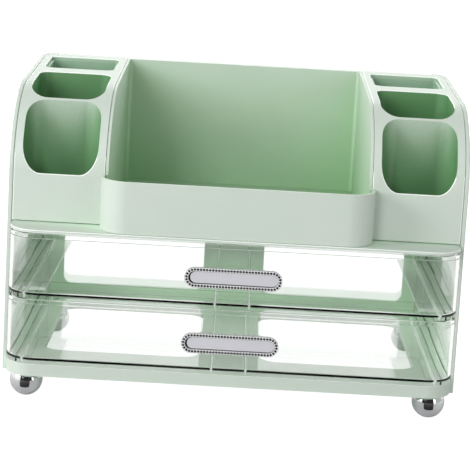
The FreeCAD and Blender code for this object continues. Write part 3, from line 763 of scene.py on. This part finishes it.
# %% Base
BASE_FRONT, BASE_WALL = 1.5, 2.5
FLOOR_LEVEL = 26.9
UNDERSIDE = 24.4
COLLAR_BOTTOM = 21.4
FOOT_TOP = 20.9
SCREW_HEAD_LEVEL = 25.1
BOSS_RADIUS, HEAD_RADIUS, MARK_RADIUS = 7, 3, 9
MARK_DEPTH = 0.4
ABOVE_FLOOR = 30

base = stepped_plate("base_tray_moulding", BASE_FRONT, BASE_BOTTOM, FLOOR_LEVEL)
side, front, back = PLATE_HALF - BASE_WALL, BASE_FRONT + BASE_WALL, INNER_BACK - BASE_WALL
hollow_corner = PLATE_CORNER - BASE_WALL
low, high = (-side, front, 0), (side, back, UNDERSIDE)
carve(base, rounded_block("hollow", low, high, hollow_corner, INNER_CORNER))
for side in (-1, 1):
    weld(base, floor_opening(side, BASE_WALL, COLLAR_BOTTOM, UNDERSIDE + 1))
for x, y in FOOT_PLACES.values():
    weld(base, upright_cylinder("boss", x, y, BOSS_RADIUS, FOOT_TOP, UNDERSIDE + 1))
for side in (-1, 1):
    carve(base, floor_opening(side, 0, 0, SKY))
for x, y in FOOT_PLACES.values():
    recess = upright_cylinder("head_recess", x, y, HEAD_RADIUS, SCREW_HEAD_LEVEL, ABOVE_FLOOR)
    carve(base, recess)
middle, mark_level = sum(OPENING_DEPTHS) / 2, FLOOR_LEVEL - MARK_DEPTH
carve(base, upright_cylinder("gate_mark", 0, middle, MARK_RADIUS, mark_level, ABOVE_FLOOR))
soften(base, 0.6, 2, FRAME_FINISHES)
hang(base, "base_tray", frame_mint_painted_light)

# %% [markdown]
# ## Boxes with wells
#
# On each side of the bin stands a box with three wells: a low one in front for brushes,
# a large one in the middle and a shallow-edged one at the back, whose rim has a ledge
# 2.5 mm below the top. The front well's wall is cut away above a rounded sill, so that
# one sees into it. The box is modelled on the right and mirrored to the left.

# %% Box and wells
GAP = 0.3
WALL = 2
BOX_BOTTOM = SHELF_TOP + GAP
BOX_UNDERSIDE, BOX_FLOOR = 127.5, 130
BOX_BACK = INNER_BACK - GAP
NEAR, FAR = 96, INNER_HALF - GAP
WELL = (101.6, 156.1)
FRONT_WELL = (SETBACK + WALL, 55.5)
MIDDLE_WELL = (57.5, 120)
REAR_WELL = (136.5, 185)
REAR_CORNERS = (7.5, 3.5)


def well(name, depths, corners, margin=0.0):
    """A block with a well's plan, from the box's floor up."""
    low = (WELL[0] + margin, depths[0] + margin, BOX_FLOOR)
    high = (WELL[1] - margin, depths[1] - margin, SKY)
    return rounded_block(name, low, high, corners[0] - margin, corners[1] - margin)


right_block = slab("right_compartment_block_moulding", NEAR, FAR, BOX_BOTTOM, BOX_BACK)
round_edges(right_block, INNER_CORNER - GAP, rear_outer_corner(FAR, BOX_BACK))
front_well = well("front_well", FRONT_WELL, (2, 13))
middle_well = well("middle_well", MIDDLE_WELL, (13.5, 9))
rear_well = well("rear_well", REAR_WELL, REAR_CORNERS, margin=WALL)
print("Wells are", round(WELL[1] - WELL[0], 1), "mm wide")

# %% [markdown]
# ## Sill
#
# The opening in front of the first well has corners that are higher than they are wide.
# The bevel tool only makes round ones, so the block is squeezed in height, rounded and
# stretched back, and its circles become ellipses.

# %% Sill
SILL_LEVEL = 160
SILL_CORNER = (13.5, 22)


def stretch_up(piece, factor):
    """Scales a piece in height, with the sill's level held."""
    edit(piece)
    bpy.ops.mesh.select_all(action="SELECT")
    bpy.ops.transform.resize(value=(1, 1, factor), center_override=place(0, 0, SILL_LEVEL))
    leave()


sill = block("sill", (WELL[0], CUT_FRONT, SILL_LEVEL), (WELL[1], SETBACK + 2 * WALL, SKY))
stretch_up(sill, SILL_CORNER[0] / SILL_CORNER[1])
round_edges(sill, SILL_CORNER[0], lambda axis, x, y, z: axis == "y" and z < SILL_LEVEL + 1)
stretch_up(sill, SILL_CORNER[1] / SILL_CORNER[0])
print("Sill corners:", SILL_CORNER, "mm")

# %% [markdown]
# ## Ledge and underside
#
# The ledge is a wider and shallow recess over the rear well, with a sloping floor.
# Below, the box is open like all thin-walled mouldings: the cavity is the outline drawn
# 2 mm inwards, less the core that holds the wells. Cuts keep the finish of the block
# that made them, so the rear well gets its lighter painted shade by that.

# %% Cuts
LEDGE_DEPTH = 2.5
CUT_BOTTOM = 100

low, high = (WELL[0], REAR_WELL[0], BOX_FLOOR + 20), (WELL[1], REAR_WELL[1], SKY)
recess = rounded_block("ledge", low, high, *REAR_CORNERS)
ledge_level = top_level(REAR_WELL[0]) - LEDGE_DEPTH / math.cos(SLOPE)
bisect(recess, place(0, REAR_WELL[0], ledge_level), UPWARDS, keep_below=False)

cavity = slab("cavity", NEAR + WALL, FAR - WALL, CUT_BOTTOM, BOX_BACK - WALL, inset=WALL)
left, right = WELL[0] - WALL, WELL[1] + WALL
carve(cavity, slab("core", left, right, BOX_UNDERSIDE, REAR_WELL[1] + WALL))
gap = block(
    "well_gap",
    (left, MIDDLE_WELL[1] + WALL, CUT_BOTTOM),
    (right, REAR_WELL[0] - WALL, top_level(MIDDLE_WELL[1]) - 2 * WALL),
)
add_finishes(right_block, *WELL_FINISHES)
for tool in (rear_well, recess):
    finish_all(tool, rear_well_mint_painted_shade, *WELL_FINISHES)
carve(right_block, front_well, middle_well, rear_well, sill, recess, cavity, gap)
print("Box after the cuts:", len(right_block.data.polygons), "faces")

# %% [markdown]
# ## Rims of the wells
#
# The general bevel gets no wider than the shortest edge of a piece allows, and hidden
# places inside these boxes leave it next to nothing. Their rims get bright lines of
# painted highlight, so they are rounded before, on their own. They are the sharp edges in
# the outer skin: a small function measures how deep a point lies under the side profile.

# %% Rims
RIM_WIDTH = 0.6
SKIN_TOLERANCE = 0.1


def skin_depth(y, z):
    """How deep a point lies under the side profile, in millimetres."""
    centre_y = SETBACK + SHOULDER_RADIUS
    if z < SHOULDER_LEVEL:
        return y - SETBACK
    if y > centre_y - SHOULDER_RADIUS * math.sin(SLOPE):
        return (top_level(y) - z) * math.cos(SLOPE)
    return SHOULDER_RADIUS - math.hypot(y - centre_y, z - SHOULDER_LEVEL)


def is_rim(edge):
    axis, x, y, z = describe(edge)
    sharp = edge.is_manifold and edge.calc_face_angle() > SHARP
    return sharp and z > BOX_BOTTOM + 1 and abs(skin_depth(y, z)) < SKIN_TOLERANCE


def round_rims(piece, width, finish_number):
    """Rounds the sharp edges that lie in the outer skin, and gives them a finish."""
    merge_doubles(piece, CLOSE)
    rims = choose(piece, "EDGE", is_rim)
    # The rims' bevel faces get the edge finish, a painted highlight.
    bpy.ops.mesh.bevel(
        offset=width * MM,
        segments=2,
        affect="EDGES",
        clamp_overlap=False,
        material=finish_number,
    )
    leave()
    print("Rounded", len(rims), "edges of the rims")


round_rims(right_block, RIM_WIDTH, len(WELL_FINISHES) - 1)

# %% Both boxes
SEAM = 0.4

left_block = copy_of(right_block, "left_compartment_block_moulding", mirror=True)
for key, box in (("left", left_block), ("right", right_block)):
    soften(box, 0.9, 3, WELL_FINISHES, seam=BOX_BOTTOM + SEAM)
    hang(box, key + "_compartment_block", well_mint_painted_shade)

# %% [markdown]
# ## Bin
#
# The bin's rear part follows the side profile, and its front part is a lower, slightly
# wider box with round corners that reaches over the drawers. Both are welded, and then
# one hollow with the same plan, 2 mm inside, is carved from above and one from below.

# %% Centre bin
BIN_HALF, BIN_FRONT_HALF = NEAR - GAP, 97.65
BIN_FRONT, BIN_STEP = 2, SETBACK - GAP
BIN_FRONT_TOP = 162
BIN_CORNER = 20
NECK = (25, 34)


def bin_hollow(bottom, top):
    """Two overlapping blocks with the plan of the bin's inside."""
    rear_half, front_half = BIN_HALF - WALL, BIN_FRONT_HALF - WALL
    rear = rounded_block(
        "rear_hollow", (-rear_half, CUT_FRONT, bottom), (rear_half, BOX_BACK - WALL, top), 0, 3
    )
    low, high = (-front_half, BIN_FRONT + WALL, bottom), (front_half, BIN_STEP - WALL, top)
    return weld(rear, rounded_block("front_hollow", low, high, BIN_CORNER - WALL, 0))


centre_bin = slab("centre_bin_moulding", -BIN_HALF, BIN_HALF, BOX_BOTTOM, BOX_BACK, inset=0.5)
low = (-BIN_FRONT_HALF, BIN_FRONT, BOX_BOTTOM)
high = (BIN_FRONT_HALF, BIN_STEP, BIN_FRONT_TOP)
weld(
    centre_bin,
    rounded_block("front_part", low, high, BIN_CORNER, 0),
    block("neck", (-BIN_HALF, NECK[0], BOX_BOTTOM), (BIN_HALF, NECK[1], BIN_FRONT_TOP)),
)
carve(centre_bin, bin_hollow(BOX_FLOOR, SKY), bin_hollow(CUT_BOTTOM, BOX_UNDERSIDE))
soften(centre_bin, 0.8, 3, BIN_FINISHES)
hang(centre_bin, "centre_bin", bin_mint_painted_shade)

# %% [markdown]
# ## Drawers
#
# A drawer is a clear tray. Its front corners have the base's large radius, its rim has
# a small lip inwards, and its floor runs up into the walls in a small fillet. The sides
# and the back are lower than the front, to pass under the rails. The floor is kept thin,
# because its thickness sets the width of the black line at the drawer's foot.

# %% Drawer tray
DRAWER_BACK = 196
DRAWER_BOTTOM = 77.5
RIM_LEVEL = DRAWER_BOTTOM + 44.4
RIM_LIP, RIM_HEIGHT = 2.8, 3.5
SIDE_DROP, SIDE_FRONT = 2.7, 22
FLOOR_TOP = DRAWER_BOTTOM + 1.2


def tray_plan(name, wall, bottom, top):
    """A block with the drawer's plan, drawn that far inside."""
    low = (wall - PLATE_HALF, wall, bottom)
    high = (PLATE_HALF - wall, DRAWER_BACK - wall, top)
    return rounded_block(name, low, high, PLATE_CORNER - wall, INNER_CORNER - wall)


drawer = tray_plan("upper_drawer_moulding", 0, DRAWER_BOTTOM, RIM_LEVEL)
round_edges(drawer, 0.8, lambda axis, x, y, z: abs(z - DRAWER_BOTTOM) < CLOSE, segments=4)
inner = tray_plan("inner", WALL, FLOOR_TOP, RIM_LEVEL - RIM_HEIGHT)
round_edges(inner, 1.2, lambda axis, x, y, z: z < FLOOR_TOP + CLOSE, segments=5)
carve(drawer, inner, tray_plan("mouth", RIM_LIP, RIM_LEVEL - 4, RIM_LEVEL + PAST))
low = (-HALF_WIDTH - PAST, SIDE_FRONT, RIM_LEVEL - SIDE_DROP)
high = (HALF_WIDTH + PAST, BACK + 2 * PAST, RIM_LEVEL + PAST)
carve(drawer, block("side_rim", low, high))
print("Tray:", len(drawer.data.polygons), "faces")

# %% [markdown]
# ## Runners
#
# Six thin runners carry a drawer, and all but the outermost are frosted. A renderer
# treats clear plastic as a solid body in shadow and diffuse rays, and the bay behind it
# would be black. Real clear drawers let that light in, so they are left out for such
# rays, and only what looks at them or through them meets them.

# %% Runners and both drawers
RUNNERS = {12.3: frosted, 147.5: frosted, 152: clear}
RUNNER_HALF, RUNNER_DROP = 0.6, 2.8
RUNNER_FRONT, RUNNER_BACK = 5, 191

add_finishes(drawer, clear, frosted)
for side in (-1, 1):
    for runner, finish in RUNNERS.items():
        middle = side * runner
        low = (middle - RUNNER_HALF, RUNNER_FRONT, DRAWER_BOTTOM - RUNNER_DROP)
        high = (middle + RUNNER_HALF, RUNNER_BACK, DRAWER_BOTTOM + 0.5)
        strip = block("runner", low, high)
        finish_all(strip, finish, clear, frosted)
        weld(drawer, strip)
for key, piece in upper_and_lower(drawer, "drawer_moulding"):
    soften(piece, 0.35)
    hang(piece, key + "_drawer", clear)
    piece.visible_diffuse = piece.visible_shadow = False

# %% [markdown]
# ## Handles
#
# The handle is a plate with round ends on two posts. Insets of its front face give, from
# the edge inwards, a narrow border, the channel for the beads, a second border and the
# recess for the inlay. The faces of the channel get their own pale material.

# %% Plates with round ends
LEVEL = 98.6
HANDLE_HALF = (34.4, 7.2)
HANDLE_FRONT, HANDLE_BACK = -6, -3.5


def stadium(name, inset, y_low, y_high, trim=(0, 0)):
    """A plate with fully round ends, at the upper handle's level, trimmed left and below."""
    half_length, half_height = HANDLE_HALF[0] - inset, HANDLE_HALF[1] - inset
    low = (trim[0] - half_length, y_low, LEVEL - half_height + trim[1])
    high = (half_length, y_high, LEVEL + half_height)
    half_height -= trim[1] / 2
    plate = block(name, low, high)
    round_edges(plate, half_height - 0.001, lambda axis, x, y, z: axis == "y", segments=14)
    merge_doubles(plate, CLOSE)
    leave()
    return plate


def pick_front(piece):
    """Selects the largest face that looks to the front."""
    bpy.ops.mesh.select_mode(type="FACE")
    bpy.ops.mesh.select_all(action="DESELECT")
    mesh = bmesh.from_edit_mesh(piece.data)
    front = max((f for f in mesh.faces if f.normal.y < -0.9), key=lambda f: f.calc_area())
    front.select_set(True)
    bmesh.update_edit_mesh(piece.data)


# %% Handle plate
BORDER, CHANNEL = 0.35, 2.1
CHANNEL_DEPTH, RECESS_DEPTH = 0.12, 0.8


def push_back(depth):
    """Extrudes the selected faces into the plate."""
    bpy.ops.mesh.extrude_region_move(TRANSFORM_OT_translate={"value": (0, depth * MM, 0)})


handle = stadium("upper_handle_casting", 0, HANDLE_FRONT, HANDLE_BACK)
add_finishes(handle, plating, channel)
edit(handle)
pick_front(handle)
bpy.ops.mesh.inset(thickness=BORDER * MM)
bpy.ops.mesh.inset(thickness=CHANNEL * MM)
mesh = bmesh.from_edit_mesh(handle.data)
middle = next(face for face in mesh.faces if face.select)
ring = {face for edge in middle.edges for face in edge.link_faces} - {middle}
middle.select_set(False)
for face in ring:
    face.select_set(True)
    face.material_index = 1
bmesh.update_edit_mesh(handle.data)
push_back(CHANNEL_DEPTH)
pick_front(handle)
bpy.ops.mesh.inset(thickness=BORDER * MM)
push_back(RECESS_DEPTH)
leave()
print("Channel of", len(ring), "faces")

# %% Posts and both handles
POST_SIDES = (12.5, 22)
POST_HALF_HEIGHT = 6.6

for side in (-1, 1):
    left, right = sorted(side * x for x in POST_SIDES)
    low, high = (left, -4, LEVEL - POST_HALF_HEIGHT), (right, 0, LEVEL + POST_HALF_HEIGHT)
    weld(handle, block("post", low, high))
for key, piece in upper_and_lower(handle, "handle_casting"):
    soften(piece, 0.15)
    hang(piece, key + "_handle", plating)

# %% [markdown]
# ## Inlay
#
# The grey inlay is a shorter plate with round ends. It sits on a black bed of the full
# size, a painted shadow that shows as a dark crescent at its left end and a dark line below
# it.

# %% Inlay
INLAY_INSET = 2.9
# The trim uncovers the black bed at the left and below, as a painted shadow.
INLAY_TRIM = (1.2, 0.55)
INLAY_FACES, SHADOW_BED_FACES = (-5.8, -5.35), (-5.5, -5.2)

upper_inlay = stadium("upper_handle_inlay_plate", INLAY_INSET, *INLAY_FACES, trim=INLAY_TRIM)
add_finishes(upper_inlay, inlay, beads)
# The bed takes the beads' black as a painted shadow around the inlay.
painted_shadow_bed = stadium("inlay_painted_shadow_bed", INLAY_INSET, *SHADOW_BED_FACES)
finish_all(painted_shadow_bed, beads, inlay, beads)
weld(upper_inlay, painted_shadow_bed)
for key, piece in upper_and_lower(upper_inlay, "handle_inlay_plate"):
    soften(piece, 0.2)
    hang(piece, key + "_handle_inlay", inlay)

# %% [markdown]
# ## Beads
#
# Sixty-eight black beads stand in the channel, like cut stones in a setting. One bead is
# an ico sphere, cut in half and left faceted. The copies follow the channel's middle
# line: two straight runs and two half circles.

# %% Where the beads stand
BEADS = 68
BEAD_RADIUS = 0.85
BEAD_CUT = 0.25
LINE_RADIUS = HANDLE_HALF[1] - BORDER - CHANNEL / 2
STRAIGHT = 2 * (HANDLE_HALF[0] - HANDLE_HALF[1])


def bead_place(number):
    """Where on the channel's middle line this bead stands, from the handle's middle."""
    length = 2 * STRAIGHT + 2 * math.pi * LINE_RADIUS
    run, side = length * number / BEADS, 1
    if run >= length / 2:
        run, side = run - length / 2, -1
    turn = max(0.0, run - STRAIGHT) / LINE_RADIUS
    across = min(run, STRAIGHT) - STRAIGHT / 2 + LINE_RADIUS * math.sin(turn)
    return side * across, side * LINE_RADIUS * math.cos(turn)


# %% Bead rows
bpy.ops.object.select_all(action="DESELECT")
bpy.ops.mesh.primitive_ico_sphere_add(
    subdivisions=2, radius=BEAD_RADIUS * MM, location=place(0, HANDLE_FRONT, LEVEL)
)
bead = settle("bead")
bisect(bead, place(0, HANDLE_FRONT + BEAD_CUT, 0), (0, 1, 0), keep_below=True)
row = []
for number in range(BEADS):
    across, up = bead_place(number)
    row.append(copy_of(bead, f"bead_{number}", shift=(across, 0, up)))
bpy.data.objects.remove(bead, do_unlink=True)
bpy.ops.object.select_all(action="DESELECT")
for piece in row:
    piece.select_set(True)
bpy.context.view_layer.objects.active = row[0]
bpy.ops.object.join()
upper_beads = bpy.context.object
upper_beads.name = upper_beads.data.name = "upper_handle_bead_row"
for key, piece in upper_and_lower(upper_beads, "handle_bead_row"):
    hang(piece, key + "_handle_beads", beads)

# %% [markdown]
# ## Feet
#
# Each foot is a plated ball with a small flat below, where it stands, and a flat on
# top against the boss of the base. The sphere is cut twice and its new edges softened.

# %% Feet
BALL_RADIUS = 11.75
BALL_CENTRE = BALL_RADIUS - 0.4
BALL_FLAT = 0.1

x, y = FOOT_PLACES["front_left"]
bpy.ops.object.select_all(action="DESELECT")
bpy.ops.mesh.primitive_uv_sphere_add(
    segments=64, ring_count=40, radius=BALL_RADIUS * MM, location=place(x, y, BALL_CENTRE)
)
ball = settle("front_left_ball_foot")
bisect(ball, place(0, 0, BALL_FLAT), (0, 0, 1), keep_below=False)
bisect(ball, place(0, 0, FOOT_TOP), (0, 0, 1), keep_below=True)
feet = {"front_left": ball}
for key, (other_x, other_y) in FOOT_PLACES.items():
    if key != "front_left":
        shift = (other_x - x, other_y - y, 0)
        feet[key] = copy_of(ball, key + "_ball_foot", shift=shift)
for key, piece in feet.items():
    soften(piece, 0.2)
    hang(piece, key + "_foot", chrome)

# %% [markdown]
# ## Nodes that keep their CAD shape
#
# The two rails under the upper drawer and the screws are right as they are. They only
# get their finish, in the material slots of their own objects.

# %% Rails and screws
KEPT = {
    "left_drawer_rail": frame_mint_painted_light,
    "right_drawer_rail": frame_mint_painted_light,
    "foot_screws": steel,
    "upper_handle_screws": steel,
    "lower_handle_screws": steel,
}
for node, finish in KEPT.items():
    piece = frame["nodes"][node]
    piece.data.materials.clear()
    add_finishes(piece, finish)
print("Finished", len(KEPT), "CAD nodes")

# %% [markdown]
# ## Floor and background
#
# The organizer stands on a plain white surface that runs into a white background. A
# white surface under soft light is never quite white in a picture, so the rays of the
# camera, and those that have passed through clear parts, see a floor that glows a
# little. Mirrors and the light that bounces onto the object meet the paper as it is.
# The world around is white to whatever looks at it, and dimmer as a source of light.

# %% Rays that look


def seen_rays(tree, *kinds):
    """One for the camera's rays and the rays of these kinds, and zero for all others."""
    path = tree.nodes.new("ShaderNodeLightPath")
    value = path.outputs["Is Camera Ray"]
    for kind in kinds:
        adder = tree.nodes.new("ShaderNodeMath")
        adder.operation = "ADD"
        adder.use_clamp = True
        tree.links.new(value, adder.inputs[0])
        tree.links.new(path.outputs[f"Is {kind} Ray"], adder.inputs[1])
        value = adder.outputs[0]
    return value


# %% Floor
FLOOR_SIZE = 12
WHITE = (1, 1, 1, 1)

bpy.ops.object.select_all(action="DESELECT")
bpy.ops.mesh.primitive_plane_add(size=FLOOR_SIZE, location=(0, 0, 0))
floor = bpy.context.object
floor.name = "floor"

paper = Finish("white_paper", Base_Color=(0.52, 0.52, 0.52, 1), Roughness=1.0)
glow = paper.add("ShaderNodeEmission", Color=WHITE, Strength=0.94)
shade = paper.add("ShaderNodeBsdfDiffuse", Color=(0.17, 0.17, 0.17, 1))
lit = paper.add("ShaderNodeAddShader")
chosen = paper.add("ShaderNodeMixShader")
paper.link(glow.outputs[0], lit.inputs[0])
paper.link(shade.outputs[0], lit.inputs[1])
paper.link(seen_rays(paper.tree, "Transmission"), chosen.inputs[0])
paper.link(paper.shader.outputs[0], chosen.inputs[1])
paper.link(lit.outputs[0], chosen.inputs[2])
paper.link(chosen.outputs[0], paper.tree.nodes["Material Output"].inputs["Surface"])
floor.data.materials.append(paper.material)
print("Floor of", FLOOR_SIZE, "m")

# %% World
AMBIENT = 0.42

world = bpy.data.worlds.new("white_studio")
bpy.context.scene.world = world
world.use_nodes = True
tree = world.node_tree
level = tree.nodes.new("ShaderNodeMapRange")
level.inputs[3].default_value = AMBIENT
level.inputs[4].default_value = 1.0
tree.links.new(seen_rays(tree, "Glossy", "Transmission"), level.inputs[0])
tree.nodes["Background"].inputs["Color"].default_value = WHITE
tree.links.new(level.outputs[0], tree.nodes["Background"].inputs["Strength"])
print("Ambient level", AMBIENT)

# %% [markdown]
# ## Lamps
#
# Four soft lamps light the organizer, as in a product studio. The key lamp stands far to
# the left: it lights the right inner wall of the bin and leaves the left one in shade.
# One in front, left of the camera, fills the faces that look forward, and a weak one on
# the right opens the shadows there. The large one behind sends its light through the
# windows of the back, and keeps out of all reflections. None is seen itself.

# %% Lamps
OBJECT_MIDDLE = (0, 0, 0.12)


def softbox(name, location, size, power, target=OBJECT_MIDDLE):
    """A square soft lamp of this size in metres."""
    light = bpy.data.lights.new(name, "AREA")
    light.shape = "SQUARE"
    light.size = size
    light.energy = power
    lamp = bpy.data.objects.new(name, light)
    bpy.context.scene.collection.objects.link(lamp)
    lamp.location = location
    direction = Vector(target) - Vector(location)
    lamp.rotation_euler = direction.to_track_quat("-Z", "Y").to_euler()
    lamp.visible_camera = lamp.visible_transmission = False
    return lamp


softbox("key_softbox", (-2.03, -0.95, 0.98), size=0.9, power=32)
softbox("front_softbox", (-0.9, -2.1, 0.9), size=0.7, power=17)
softbox("right_softbox", (1.5, -1.5, 0.45), size=0.9, power=6)
rear = softbox("rear_softbox", (0, 1.5, 0.5), size=1.8, power=75, target=(0, 0, 0.1))
rear.visible_glossy = False
print("Lamps:", len(bpy.data.lights))

# %% [markdown]
# ## Cards for the reflections
#
# In an all-white room a chrome ball is white on white. Photographers stand cards where
# only reflections find them. A black one stands in front, and a black strip for each
# foot widens on the floor towards it. A grey card and a narrow black one stand on the
# right. Nothing but mirror rays meets any of them.

# %% Cards
black_cloth = Finish("black_cloth", Base_Color=(0.012, 0.012, 0.012, 1), Roughness=1.0)
grey_cloth = Finish("grey_cloth", Base_Color=(0.30, 0.34, 0.30, 1), Roughness=1.0)


def card(name, corners, cloth):
    """A flat card between four corners in metres that only reflections see."""
    mesh = bpy.data.meshes.new(name)
    mesh.from_pydata(corners, [], [(0, 1, 2, 3)])
    piece = bpy.data.objects.new(name, mesh)
    bpy.context.scene.collection.objects.link(piece)
    piece.visible_camera = piece.visible_diffuse = piece.visible_shadow = False
    piece.visible_transmission = False
    mesh.materials.append(cloth.material)


def upright_card(name, start, end, height, cloth):
    """A card that stands on the floor between two points."""
    low, high = [(*start, 0), (*end, 0)], [(*end, height), (*start, height)]
    card(name, low + high, cloth)


upright_card("front_card", (-0.62, -0.75), (0.62, -0.75), 0.42, black_cloth)
upright_card("right_grey_card", (0.75, -0.65), (0.8, 0.15), 0.5, grey_cloth)
upright_card("right_black_card", (0.8, 0.62), (0.8, 0.9), 0.4, black_cloth)

# %% Strips in front of the feet
STRIP_NEAR, STRIP_FAR = 0.0168, 0.60
STRIP_LEVEL = 0.6

for key in ("front_left", "front_right"):
    foot_x, foot_y, level = place(*FOOT_PLACES[key], STRIP_LEVEL)
    near, far = foot_y - STRIP_NEAR, foot_y - STRIP_FAR
    corners = [(foot_x - 0.0085, near, level), (foot_x + 0.0075, near, level)]
    corners += [(foot_x + 0.38, far, level), (foot_x - 0.44, far, level)]
    card(key + "_floor_card", corners, black_cloth)

# %% [markdown]
# ## Camera
#
# A camera's place can be worked out from straight edges and corners whose sizes are
# known. This one stands a little above the organizer, looks down and is turned a few
# degrees about its line of sight. The picture was cropped after it was taken, so the
# line of sight lies above the frame's middle, which a lens shift repeats.

# %% Camera
FRAME_PIXELS = 470
FOCAL_PIXELS = 1522.15
SENSOR = 36
LENS_SHIFT = -0.2
CAMERA_PLACE = (-0.00254, -1.141055, 0.355)
YAW, PITCH, ROLL = math.radians(0.096), math.radians(-8.667), math.radians(-3.205)

camera_data = bpy.data.cameras.new("camera")
camera_data.sensor_width = SENSOR
camera_data.lens = SENSOR * FOCAL_PIXELS / FRAME_PIXELS
camera_data.shift_y = LENS_SHIFT
camera_data.clip_start = 0.01
camera = bpy.data.objects.new("camera", camera_data)
bpy.context.scene.collection.objects.link(camera)
turns = ((YAW, "Z"), (PITCH, "X"), (ROLL, "Y"), (math.pi / 2, "X"))
view = Matrix.Translation(CAMERA_PLACE)
for angle, axis in turns:
    view = view @ Matrix.Rotation(angle, 4, axis)
camera.matrix_world = view
bpy.context.scene.camera = camera
bpy.context.scene.view_settings.view_transform = "Standard"
print("Lens", round(camera_data.lens, 2), "mm")
